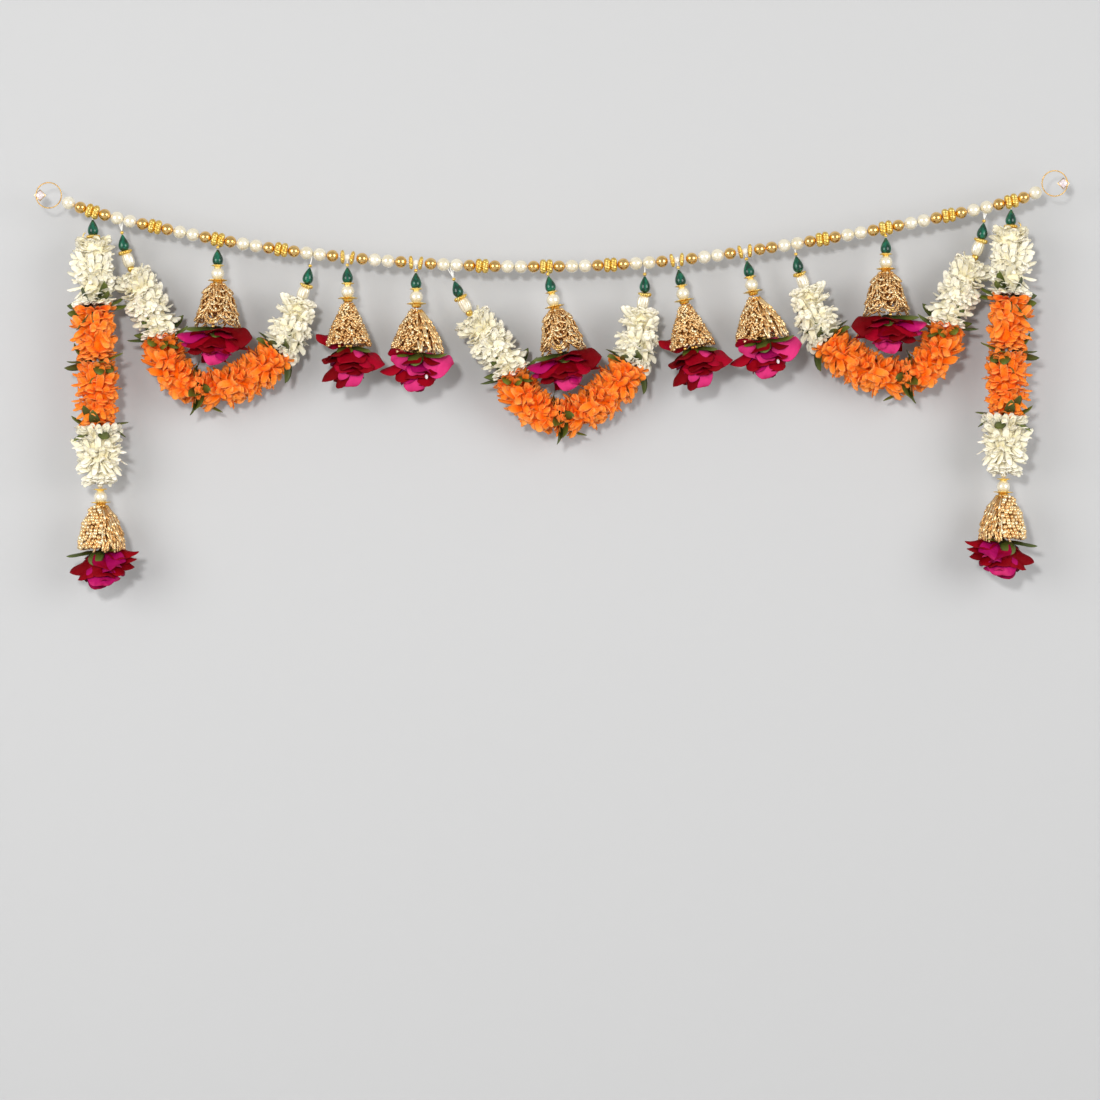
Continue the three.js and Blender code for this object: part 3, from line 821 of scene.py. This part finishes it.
def beads_along(bead, places, directions, rng):
    """Copies of a bead with their third axes along the directions."""
    third = directions / np.linalg.norm(directions, axis=1, keepdims=True)
    radial = places * [1, 1, 0]
    first = np.cross(np.cross(third, radial), third)
    first /= np.maximum(np.linalg.norm(first, axis=1, keepdims=True), 1e-9)
    turns = np.stack([first, np.cross(third, first), third], -1)
    return repeated(bead, places, turns, 0.9 + 0.25 * rng.random(len(places)),
                    tint=rng.random(len(places)))


def on_part(share, angle, angle_from, angle_to):
    """Of these places round the bell, the ones between two angles."""
    angle = (angle + math.pi) % (2 * math.pi) - math.pi
    kept = (angle >= angle_from) & (angle <= angle_to)
    return share[kept], angle[kept]


def curled_tubes(kind, rng, angle_from=-math.pi, angle_to=math.pi):
    """Rows of small bent tubes that point down, out and to either side."""
    share, angle = on_part(*bead_rows(kind, 2.9 * MM, 3.1 * MM), angle_from, angle_to)
    n = len(share)
    share = np.clip(share + 0.02 * rng.standard_normal(n), 0.02, 1.0)
    angle = angle + 0.05 * rng.standard_normal(n)
    turns = toward(angle, 0.55 + 0.5 * rng.random(n), 0.25 + 0.7 * rng.random(n),
                   0.9 * rng.standard_normal(n))
    return repeated(bent_tube(4.4 * MM, 1.12 * MM, 1.3 * MM), on_bell(kind, share, angle, 0.3 * MM),
                    turns, 0.85 + 0.3 * rng.random(n), tint=rng.random(n))


def bugle_tubes(kind, rng, angle_from, angle_to):
    """Thin tubes that run down the bell in overlapping tiers, from place to place on its outside."""
    unit = bent_tube(1.0, 0.085, 0.03, 6, 4)
    parts = []
    for layer, (begin, end) in enumerate(BUGLE_TIERS):
        n = int(BUGLES * (0.7 + 0.12 * layer))
        angle = np.linspace(angle_from, angle_to, n) + 0.03 * rng.standard_normal(n)
        first = on_bell(kind, begin + 0.08 * rng.random(n), angle, 0.1 * MM)
        last = on_bell(kind, np.minimum(end + 0.05 * rng.standard_normal(n), 1.08),
                       angle + 0.12 * rng.standard_normal(n), (0.6 + 1.4 * rng.random(n)) * MM)
        direction = last - first
        long = np.linalg.norm(direction, axis=1)
        third = direction / long[:, None]
        side = np.stack([-np.sin(angle), np.cos(angle), 0 * angle], -1)
        turns = np.stack([np.cross(side, third), side, third], -1)
        parts.append(repeated(unit, (first + last) / 2, turns, long, tint=rng.random(n)))
    return joined(parts)


def sequins(kind, rng, angle_from, angle_to):
    """Small bright balls packed over part of the bell."""
    share, angle = on_part(*bead_rows(kind, 3.9 * MM, 3.4 * MM), angle_from, angle_to)
    n = len(share)
    places = on_bell(kind, share + 0.015 * rng.standard_normal(n), angle,
                     (0.4 + 1.4 * rng.random(n)) * MM)
    return repeated(ball(4.1 * MM, 10, 6), places, sizes=0.75 + 0.5 * rng.random(n),
                    tint=0.35 + 0.65 * rng.random(n))


def beadwork(kind, rng):
    """What covers the bell of each kind, and how far its core reaches. Bugle and sequin bells have
    tubes that run down their right half and small tubes or balls on the rest."""
    if kind == "looped":
        return [looped_chains(kind, rng)], 0.72
    if kind == "curled":
        return [curled_tubes(kind, rng)], 0.96
    if kind == "bugle":
        return [curled_tubes(kind, rng, -math.pi, FRONT), curled_tubes(kind, rng, -FRONT, math.pi),
                bugle_tubes(kind, rng, FRONT + 0.1, -FRONT)], 0.9
    return [sequins(kind, rng, -math.pi, FRONT + 0.15), sequins(kind, rng, -FRONT, math.pi),
            bugle_tubes(kind, rng, FRONT + 0.05, -FRONT)], 0.95


def bead_at(diameter, sides, rows, place, across, out, stretch=1.0):
    """A small ball beside the thread: out is towards the camera side."""
    return at_place(ball(diameter, sides, rows, stretch), place, across, -out)


def tassel(name, line, kind, rng):
    """One bell: its beadwork round a core painted dark as shade between the beads, a collar of small
    beads, and what hangs at its hem.
    """
    work, core_share = beadwork(kind, rng)
    core = tassel_core(kind, core_share)
    # Painted shade: tint 0 gives the core the darkest champagne.
    core.values["tint"] = np.zeros(len(core.points))
    top, _, length = (v * MM for v in BELLS[kind])
    neck = np.arange(COLLAR_BEADS) * 2 * math.pi / COLLAR_BEADS
    collar = repeated(ball(2.6 * MM, 8, 5), np.stack(
        [3.9 * MM * np.cos(neck), 3.9 * MM * np.sin(neck), 0 * neck + top + 1.0 * MM], -1),
        tint=np.full(COLLAR_BEADS, 0.9))
    hung(f"{name}_tassel_beadwork", line, [*work, collar, core], CHAMPAGNE,
         [f"{name}_tassel"])
    hem = top + length
    if kind == "looped":
        beads = [bead_at(6.2 * MM, 20, 11, hem - 4.5 * MM, -4 * MM, 9 * MM),
                 bead_at(3.4 * MM, 14, 7, hem + 0.4 * MM, -3 * MM, 9 * MM)]
        hung(f"{name}_tassel_gilt_beads", line, beads, YELLOW_GOLD)
    if kind == "curled":
        beads = [bead_at(3.2 * MM, 14, 7, hem + 1.5 * MM, x * MM, 12 * MM) for x in (-7.5, -0.5, 2.8)]
        hung(f"{name}_tassel_gilt_beads", line, beads, YELLOW_GOLD)
    if kind == "bugle":
        clear = bead_at(3.0 * MM, 14, 7, hem + 25 * MM, 9 * MM, 16.5 * MM, 1.5)
        hung(f"{name}_clear_drop", line, [clear], STONE)
        cap = flower_cap(hem - 2 * MM, 8.5 * MM, 2.2 * MM, 3 * MM)
        hung(f"{name}_tassel_lower_cap", line, [cap], YELLOW_GOLD)


# ---------- roses ----------
# Rings behind and under the petals that show: count, turn, millimetres below the rose's top, play,
# pink, length, width, start, and how a petal stands.
ROSE_RINGS = (
    (7, 0.0, 2.5, 1.8, 0.05, 25, 25, 3.0,
     dict(lift=0.35, curl=0.7, flare=-0.8, bow=0.5, ruffle=0.12, shape=(0.55, 0.45))),
    (6, 0.1, 6, 1.5, 0.15, 25, 24, 3.0,
     dict(lift=0.8, curl=0.6, flare=-0.8, bow=0.8, ruffle=0.08, shape=(0.5, 0.4))),
    (5, 0.7, 9, 0.9, 0.4, 23, 23, 3.0,
     dict(lift=1.1, curl=0.5, flare=-0.9, bow=1.1, ruffle=0.05, shape=(0.5, 0.34))),
    (4, 0.3, 11, 0.5, 0.7, 20, 18, 2.0,
     dict(lift=1.3, curl=0.4, flare=-0.6, bow=1.6, shape=(0.5, 0.3))),
    (3, 0.0, 13, 0.2, 0.7, 17, 12, 0.8, dict(lift=1.35, curl=0.35, bow=2.2, shape=(0.5, 0.3))),
)


def petal_ring(rng, top, first_turn, count, turn, below, play, pink, length, width, start, stand):
    """One ring of a rose's petals, evenly round it with a little play in every measure."""
    def varied(value, by):
        return value + by * rng.standard_normal(count)

    angle = first_turn + turn + 2 * math.pi * varied(np.arange(count), 0.25 * play) / count
    length, width = length * MM * varied(1, 0.1), width * MM * varied(1, 0.1)
    lift, curl = varied(stand["lift"], 0.12 * play), varied(stand["curl"], 0.12 * play)
    roll = varied(0, 0.12 * play)
    ring = petals(rng, top + below * MM + 0.6 * MM * rng.standard_normal(count), angle, length=length,
                  width=width, start=start * MM, roll=roll, rows=11, sides=16, thickness=0.2 * MM,
                  **{**stand, "lift": lift, "curl": curl})
    ring.values["pink"] = np.repeat(np.clip(varied(pink, 0.3), 0, 1), len(ring.points) // count)
    return ring


ROSES = {  # the petals that show: degrees round (-90 faces out), length, width, lift, curl, pink
    "looped": [(-22, 37, 26, 0.20, 0.35, 0.0), (-163, 39, 22, 0.10, 0.3, 0.62),
               (-150, 36, 22, 0.42, 0.3, 0.1), (-168, 34, 17, 0.62, 0.2, 0.0),
               (-178, 36, 15, 0.34, 0.2, 0.55), (-12, 36, 14, 0.5, 0.2, 0.0),
               (-42, 33, 18, 0.62, 0.2, 0.05), (-58, 31, 15, 0.8, 0.2, 0.2),
               (-120, 29, 22, 0.75, 0.3, 0.0), (-80, 27, 22, 0.7, 0.4, 0.3),
               (-98, 35, 26, 1.1, 0.2, 0.8), (-70, 32, 12, 1.05, 0.1, 0.7)],
    "curled": [(178, 31, 17, -0.45, 0.3, 0.25), (-155, 40, 17, 0.85, 0.1, 0.0),
               (-122, 40, 16, 1.12, 0.1, 0.0), (-20, 40, 25, 0.35, 0.3, 0.0),
               (-38, 36, 20, 0.55, 0.3, 0.1), (-50, 22, 16, 0.3, 0.3, 0.95),
               (-98, 29, 26, 0.75, 0.4, 0.0), (-66, 30, 22, 0.85, 0.3, 0.0),
               (-112, 33, 14, 1.0, 0.2, 0.9), (-80, 37, 28, 1.15, 0.15, 1.0)],
    "bugle": [(-166, 39, 19, 0.38, 0.2, 0.0), (-146, 27, 26, 0.2, 0.4, 0.9),
              (-28, 39, 34, 0.28, 0.2, 1.0), (-45, 31, 16, 0.62, 0.2, 0.0),
              (-142, 33, 19, 0.78, 0.2, 0.15), (-88, 26, 22, 0.72, 0.3, 0.75),
              (-72, 28, 18, 0.8, 0.3, 0.05), (-55, 35, 20, 0.95, 0.15, 0.0),
              (-106, 37, 26, 1.1, 0.15, 0.85)],
    "sequin": [(-58, 31, 29, 0.35, 0.35, 0.62), (-84, 36, 32, 0.85, 0.3, 0.66),
               (-110, 35, 24, 1.1, 0.15, 0.4), (-162, 35, 16, 0.5, 0.15, 0.0),
               (-142, 35, 15, 0.75, 0.1, 0.0), (-40, 34, 16, 0.6, 0.2, 0.05),
               (-8, 35, 15, 0.02, 0.15, 0.0), (-14, 35, 14, 0.22, 0.1, 0.0),
               (-20, 36, 13, 0.42, 0.1, 0.0)],
}
SEPALS = {  # degrees round, length, width, lift, curl
    "looped": [(-160, 30, 10, -0.05, 0.25), (-118, 12, 9, 0.3, 0.8), (-92, 14, 12, 0.55, 0.7)],
    "curled": [(-40, 27, 8, 0.1, 0.35), (-130, 14, 9, 0.2, 0.7), (-85, 11, 9, 0.3, 0.8)],
    "bugle": [(-94, 25, 15, 0.05, 1.3), (-28, 31, 9, 0.3, -0.4), (-150, 20, 8, 0.0, 0.4)],
    "sequin": [(-108, 24, 15, 0.05, 1.3), (-172, 32, 7, 0.1, 0.1), (-50, 22, 7, -0.15, 0.3)],
}


def rose(name, line, top, kind, rng):
    """A fabric rose facing down: its own petals that show, rings behind and under them, a rolled
    bud, a calyx. A petal that points sideways turns its outer face to the front."""
    angle, length, width, lift, curl, pink = np.array(ROSES[kind]).T
    count = len(angle)
    angle = np.radians(angle)
    shown = petals(rng, top + (0.5 + 6 * lift) * MM, angle, length=0.93 * length * MM,
                   width=0.98 * width * MM,
                   lift=lift, curl=curl + 0.5, flare=-0.85, bow=0.55, ruffle=0.22, crease=0.12,
                   roll=-0.75 * np.cos(angle) * np.cos(lift) + 0.15 * rng.standard_normal(count),
                   start=3 * MM, shape=(0.62, 0.62), rows=14, sides=20, thickness=0.2 * MM)
    shown.values["pink"] = np.repeat(pink, len(shown.points) // count)
    turn = rng.random() * 2 * math.pi
    rings = [petal_ring(rng, top, turn, *ring) for ring in ROSE_RINGS]
    hung(f"{name}_rose_petals", line, [shown, *rings], ROSE, [f"{name}_rose"])
    angle, length, width, lift, curl = np.array(SEPALS[kind]).T
    angle = np.radians(angle)
    front = petals(rng, np.full(len(angle), top + 0.5 * MM), angle, length=0.95 * length * MM,
                   width=width * MM, lift=lift, curl=curl, bow=0.35, crease=0.15, ruffle=0.1,
                   roll=-0.6 * np.cos(angle), shape=(0.5, 0.5), rows=10, sides=10, start=3 * MM)
    behind = petals(rng, np.full(3, top + 2.0 * MM), np.radians([30, 90, 150]), length=20 * MM,
                    width=9 * MM, lift=0.0, curl=0.6, bow=0.35, shape=(0.5, 0.7), start=2 * MM)
    # The base has share and tint of nought, so it takes the leaf's near-black painted shade.
    base = turned(np.array([(2.5, -1), (4.5, 0.5), (7, 3), (5.5, 10), (2, 13)]) * MM + [0, top], 20)
    hung(f"{name}_calyx", line, [front, behind, base], LEAF)


# ---------- flower runs ----------
PETAL_START, CORE = 4 * MM, 9.5 * MM
LEAVES, LEAF_FAN = 9, 1.9  # leaves in a spray, and how far round they stand from the front
FULL = {"cream": 1.15, "orange": 1.27}  # how far past the run's radius the tips of flat petals stand
END_EASE = 19 * MM  # a petal's slope is at most its distance from the run's end over this length
BUNCH = {"cream": 28 * MM, "orange": 23 * MM}  # length of thread that one bunch takes
BUNCH_BEND, BUNCH_HEART = 6 * MM, 5 * MM  # how far a middle wanders, and how wide a heart is
DISCS = {"cream": (4.1 * MM, 14, 6.9 * MM), "orange": (4.6 * MM, 11, 7.8 * MM)}  # pitch, fingers, width
FINGERTIP = {"cream": (0.6, 0.24), "orange": (0.6, 0.32)}
RUFFLE = {"cream": 0.12, "orange": 0.08}


def florets(name, line, start, end, radii, style, rng):
    """Fabric florets packed on the thread from start to end: discs cut into fingers, round a core.

    The discs stand in bunches. A disc's slope grows with its distance from the middle of its
    bunch, so each bunch opens like one flower, and the middles wander round the thread. Slope and
    length also ripple two and three times round each disc, which changes slowly from disc to disc.
    Smaller discs at every slope fill the hearts of the bunches."""
    pitch, fingers, width = DISCS[style]
    layers = int(round((end - start) / pitch))
    share = (np.arange(layers) + 0.5) / layers
    place = start + (end - start) * share
    reach = np.interp(share, np.linspace(0, 1, len(radii)), radii) * MM
    bunches = max(2, int(round((end - start) / BUNCH[style])))
    middles = start + (end - start) * (np.arange(bunches) + 0.5) / bunches
    wander = rng.random(bunches) * 2 * math.pi
    phase = 2 * math.pi * rng.random(3)[:, None] + np.outer([0.35, -0.25, 0.2], np.arange(layers))
    phase = phase + 0.3 * rng.standard_normal((3, layers))
    made = []
    for count, size, spread in ((fingers, 1.0, 0.14), (fingers // 2 + 3, 0.84, 0.4)):
        layer = np.repeat(np.arange(layers), count)
        n = len(layer)
        angle = 2 * math.pi * (np.tile(np.arange(count), layers) / count + rng.random(layers)[layer])
        angle = angle + 0.05 * rng.standard_normal(n)
        ripple = np.sin(2 * angle + phase[0][layer]) + np.sin(3 * angle + phase[1][layer])
        shifted = middles[None] + BUNCH_BEND * np.cos(angle[:, None] - wander[None])
        own = np.argmin(np.abs(place[layer][:, None] - shifted), axis=1)
        away = (place[layer] - shifted[np.arange(n), own]) / BUNCH_HEART
        slope = 0.85 * np.tanh(away) + 0.14 * ripple + spread * rng.standard_normal(n)
        slope = np.clip(slope, -(place[layer] - start) / END_EASE, (end - place[layer]) / END_EASE)
        swell = FULL[style] + 0.12 * np.sin(3 * angle + phase[2][layer]) + 0.07 * rng.standard_normal(n)
        swell = swell / np.sqrt(np.cos(np.clip(slope, -1, 1)))
        made.append(petals(
            rng, place[layer] + 0.4 * MM * rng.standard_normal(n), angle,
            length=(reach[layer] - PETAL_START) * size * swell, start=PETAL_START, lift=slope,
            width=width * (0.9 + 0.25 * rng.random(n)), shape=FINGERTIP[style],
            curl=0.3 * slope + 0.3 * rng.standard_normal(n), bow=0.75, crease=0.05,
            roll=0.3 * rng.standard_normal(n) - 0.8 * np.cos(angle) * np.tanh(2 * slope),
            rows=8, sides=8, ruffle=RUFFLE[style]))
    core_radius = np.full(layers, CORE)
    core_radius[[0, -1]] = 0.5 * CORE
    steps = turned(np.stack([core_radius, place], -1), 16, lobes=5, depth=0.12, twist=40)
    core = Surface(steps.points, steps.quads, steps.triangles, tint=0.4, share=0.45, edge=0.0)
    material, slot = (CREAM, "cream_fabric") if style == "cream" else (ORANGE, "orange_fabric")
    hung(f"{name}_florets", line, [*made, core], material, [name])


def leaf_spray(name, line, place, rng):
    """Narrow leaves at a joint between flower runs, most of them on the side that shows."""
    n = LEAVES
    angle = FRONT + np.linspace(-LEAF_FAN, LEAF_FAN, n) + 0.25 * rng.standard_normal(n)
    leaves = petals(rng, place + 1.5 * MM * rng.standard_normal(n), angle,
                    length=(22.5 + 5 * rng.random(n)) * MM, width=(9 + 2 * rng.random(n)) * MM,
                    lift=0.7 * rng.standard_normal(n), curl=0.5 * rng.standard_normal(n),
                    bow=0.4, crease=0.2, shape=(0.6, 0.6), rows=8, start=4 * MM,
                    roll=0.6 * rng.standard_normal(n))
    hung(name, line, [leaves], LEAF)


# ---------- the hangings ----------
# Places along each hanging's thread are millimetres from where it leaves the string.
ON_DROP = dict(seed=7.2, teardrop=8.1, small_cap=24.4, pearl=31.9, wide_cap=38.2)
ON_STRAND = dict(teardrop=6.5, wire_hook=21, rope_cap=23.4, small_pearl=254.6, small_cap=258.4,
                 pearl=265.6, wide_cap=270.6)
ON_SWAG = dict(fork=11.5, seed=13, teardrop=13.7, rope_cap=31.2, barrel=39, small_bead=47.6)
FROM_SWAG_END = dict(seed=10.4, teardrop=11.1, rope_cap=29, barrel=37)
STRAND_RUNS = (  # piece, style, start, end, radii along it, leaves below it, their place
    ("white_upper", "cream", 25, 86, (13, 18, 20, 20, 18), "leaves_upper", 87.5),
    ("orange_upper", "orange", 89, 137, (16, 19, 20, 18, 14), "leaves_middle", 138.5),
    ("orange_lower", "orange", 140, 199, (14, 19, 20, 17, 13), "leaves_lower", 200.5),
    ("white_lower", "cream", 202, 252, (18, 22, 22, 18, 13), None, None),
)
SWAG_RUNS = (  # the same, from the side where the swag's thread starts to the side where it ends
    ("{first}_white", "cream", 51, 116, (15, 19, 20, 20, 17), "{first}_leaves", 117),
    ("{first}_orange", "orange", 118, 180, (17, 19, 19, 18, 15), "middle_leaves", 181),
    ("{last}_orange", "orange", 182, 264, (15, 18, 19, 20, 19, 17), "{last}_leaves", 265),
    ("{last}_white", "cream", 267, -43, (15, 19, 20, 18, 12), None, None),
)
SEEDS = {"looped": 3, "curled": 5, "bugle": 8, "sequin": 12, "swag": 21}  # like pieces are alike


def flower_runs(name, line, runs, rng, **sides):
    """Runs of florets down a thread with leaves between them. A run's end below nought is measured
    from the thread's end."""
    for piece, style, start, end, radii, leaves, place in runs:
        end = end * MM if end > 0 else line.length + end * MM
        florets(f"{name}_{piece.format(**sides)}", line, start * MM, end, radii, style, rng)
        if leaves:
            leaf_spray(f"{name}_{leaves.format(**sides)}", line, place * MM, rng)


def drop(name, rondelle, lean, kind, hand=1):
    """Seed bead, teardrop, small cap, pearl, wide cap, bell tassel and rose on one thread."""
    rng = np.random.default_rng(SEEDS[kind])
    line = plumb_line(STRING.point(RONDELLE_PLACES[rondelle - 1]), lean, DROP_LENGTH, DROP_FORWARD,
                      hand)
    top, _, length = (v * MM for v in BELLS[kind])
    cord_on(f"{name}_thread", line, top + length)
    at = {bead: place * MM for bead, place in ON_DROP.items()}
    hung(f"{name}_teardrop", line, [teardrop(at["teardrop"])], GREEN, [f"{name}_beads"])
    hung(f"{name}_seed_bead", line, [at_place(ball(SEED, 16, 9), at["seed"])], YELLOW_GOLD)
    caps = [flower_cap(at["small_cap"], SMALL_CAP, CAP_THICKNESS, 1.2 * MM),
            flower_cap(at["wide_cap"], WIDE_CAP, CAP_THICKNESS, 2.6 * MM)]
    hung(f"{name}_caps", line, caps, YELLOW_GOLD)
    hung(f"{name}_pearl", line, [at_place(ball(DROP_PEARL), at["pearl"])], PEARL_COAT)
    tassel(name, line, kind, rng)
    rose(name, line, top + length + ROSE_GAP, kind, rng)


def strand(name, rondelle, lean, hand=1):
    """Cream, orange, orange and cream flower runs, then pearls, a bell of beads and a rose."""
    rng = np.random.default_rng(SEEDS["sequin"])
    line = plumb_line(STRING.point(RONDELLE_PLACES[rondelle - 1]), lean, STRAND_LENGTH,
                      STRAND_FORWARD, hand)
    top, _, length = (v * MM for v in BELLS["sequin"])
    cord_on(f"{name}_thread", line, top + length)
    at = {bead: place * MM for bead, place in ON_STRAND.items()}
    hung(f"{name}_teardrop", line, [teardrop(at["teardrop"])], GREEN, [f"{name}_beads"])
    hung(f"{name}_cap", line, [rope_cap(at["rope_cap"], 5.8 * MM, 3 * MM)], YELLOW_GOLD)
    wire_hook(f"{name}_wire_hook", line, at["wire_hook"])
    flower_runs(name, line, STRAND_RUNS, rng)
    pearls = [at_place(ball(SMALL_PEARL, 20, 11), at["small_pearl"]),
              at_place(ball(DROP_PEARL), at["pearl"])]
    hung(f"{name}_pearls", line, pearls, PEARL_COAT, [f"{name}_lower_beads"])
    caps = [flower_cap(at["small_cap"], 6 * MM, CAP_THICKNESS, 1.2 * MM),
            flower_cap(at["wide_cap"], WIDE_CAP, CAP_THICKNESS, 2 * MM)]
    hung(f"{name}_lower_caps", line, caps, YELLOW_GOLD)
    tassel(name, line, "sequin", rng)
    rose(name, line, top + length + ROSE_GAP, "sequin", rng)


def swag(name, middle, turn, hand):
    """From its first thread: beads, cream, orange, orange and cream runs, beads. A mirrored swag
    starts on the right."""
    rng = np.random.default_rng(SEEDS["swag"])
    line = swag_line(middle, turn, hand)
    end = line.length
    first, last = ("left", "right") if hand > 0 else ("right", "left")
    cord_on(f"{name}_thread", line, end)
    at = {bead: place * MM for bead, place in ON_SWAG.items()}
    back = {bead: end - place * MM for bead, place in FROM_SWAG_END.items()}
    hung(f"{name}_{first}_teardrop", line, [teardrop(at["teardrop"])], GREEN,
         [f"{name}_{first}_beads"])
    thread_fork(f"{name}_{first}_thread_fork", line, at["fork"])
    upright = teardrop(0)
    flipped = Surface(upright.points * [1, 1, -1] + [0, 0, back["teardrop"]],
                      upright.quads[:, ::-1], upright.triangles[:, ::-1])
    hung(f"{name}_{last}_teardrop", line, [flipped], GREEN, [f"{name}_{last}_beads"])
    gilt_beads = [
        at_place(ball(SEED, 16, 9), at["seed"]), rope_cap(at["rope_cap"], 5.8 * MM, 3.4 * MM),
        at_place(ball(SMALL_BEAD, 20, 11), at["small_bead"]),
        at_place(ball(SEED, 16, 9), back["seed"]), rope_cap(back["rope_cap"], 5.6 * MM, 3 * MM)]
    hung(f"{name}_gilt_beads", line, gilt_beads, YELLOW_GOLD)
    barrels = [barrel(place, BARREL, BARREL_LENGTH) for place in (at["barrel"], back["barrel"])]
    hung(f"{name}_barrels", line, barrels, PEARL_COAT)
    flower_runs(name, line, SWAG_RUNS, rng, first=first, last=last)


# ---------- the garland ----------
cord_on("string_thread", STRING, STRING.length)
string_beads()
open_knots()
rings()
for each in DROPS:
    drop(**each)
for each in STRANDS:
    strand(**each)
for each in SWAGS:
    swag(**each)


# ---------- stage ----------
PALE_GREY = (0.456, 0.456, 0.456)


def plain(name, colour, one_sided=False):
    """A matt backdrop paint. One-sided paint is clear from behind, so the wall hides nothing."""
    material, tree, shader = finish(name, Roughness=0.95, Base_Color=(*colour, 1))
    if one_sided:
        clear = node(tree, "ShaderNodeBsdfTransparent")
        behind = node(tree, "ShaderNodeNewGeometry").outputs["Backfacing"]
        both = node(tree, "ShaderNodeMixShader", Fac=behind)
        tree.links.new(shader.outputs["BSDF"], both.inputs[1])
        tree.links.new(clear.outputs["BSDF"], both.inputs[2])
        tree.links.new(both.outputs["Shader"], tree.nodes["Material Output"].inputs["Surface"])
    return material


def backdrop(name, corners, material):
    """One flat sheet of the stage."""
    mesh = bpy.data.meshes.new(name)
    mesh.from_pydata(corners, [], [(0, 1, 2, 3)])
    mesh.materials.append(material)
    piece = bpy.data.objects.new(name, mesh)
    bpy.context.scene.collection.objects.link(piece)


def softbox(name, place, aim, size, power, in_gloss=True):
    """A round light of a size and a power, aimed at a point."""
    data = bpy.data.lights.new(name, "AREA")
    data.shape, data.size, data.energy = "DISK", size, power
    piece = bpy.data.objects.new(name, data)
    bpy.context.scene.collection.objects.link(piece)
    piece.location = place
    piece.visible_glossy = in_gloss
    way = Vector(aim) - Vector(place)
    piece.rotation_euler = way.to_track_quat("-Z", "Y").to_euler()


def stage():
    """A plain pale wall and floor, a key light from the front, and a wide soft one on either side."""
    w, back, low, top = STAGE_REACH, WALL_Y, FLOOR_Z, WALL_TOP
    backdrop("wall", [(-w, back, low), (w, back, low), (w, back, top), (-w, back, top)],
             plain("wall_paint", PALE_GREY, one_sided=True))
    backdrop("floor", [(-w, -w, low), (w, -w, low), (w, w, low), (-w, w, low)],
             plain("floor_paint", PALE_GREY))
    middle = (0, 0, -0.25)
    softbox("key", (-0.5, -3.3, 0.25), middle, 0.35, 56, in_gloss=False)
    softbox("left_softbox", (-2.0, -2.2, 0.1), middle, 2.0, 38)
    softbox("right_softbox", (2.0, -2.2, 0.1), middle, 2.0, 38)
    world = bpy.data.worlds.new("studio")
    world.use_nodes = True
    sky = world.node_tree.nodes["Background"]
    sky.inputs["Color"].default_value = (0.9, 0.9, 0.9, 1)
    sky.inputs["Strength"].default_value = 0.56
    bpy.context.scene.world = world
    bpy.context.scene.view_settings.view_transform = "Standard"


stage()
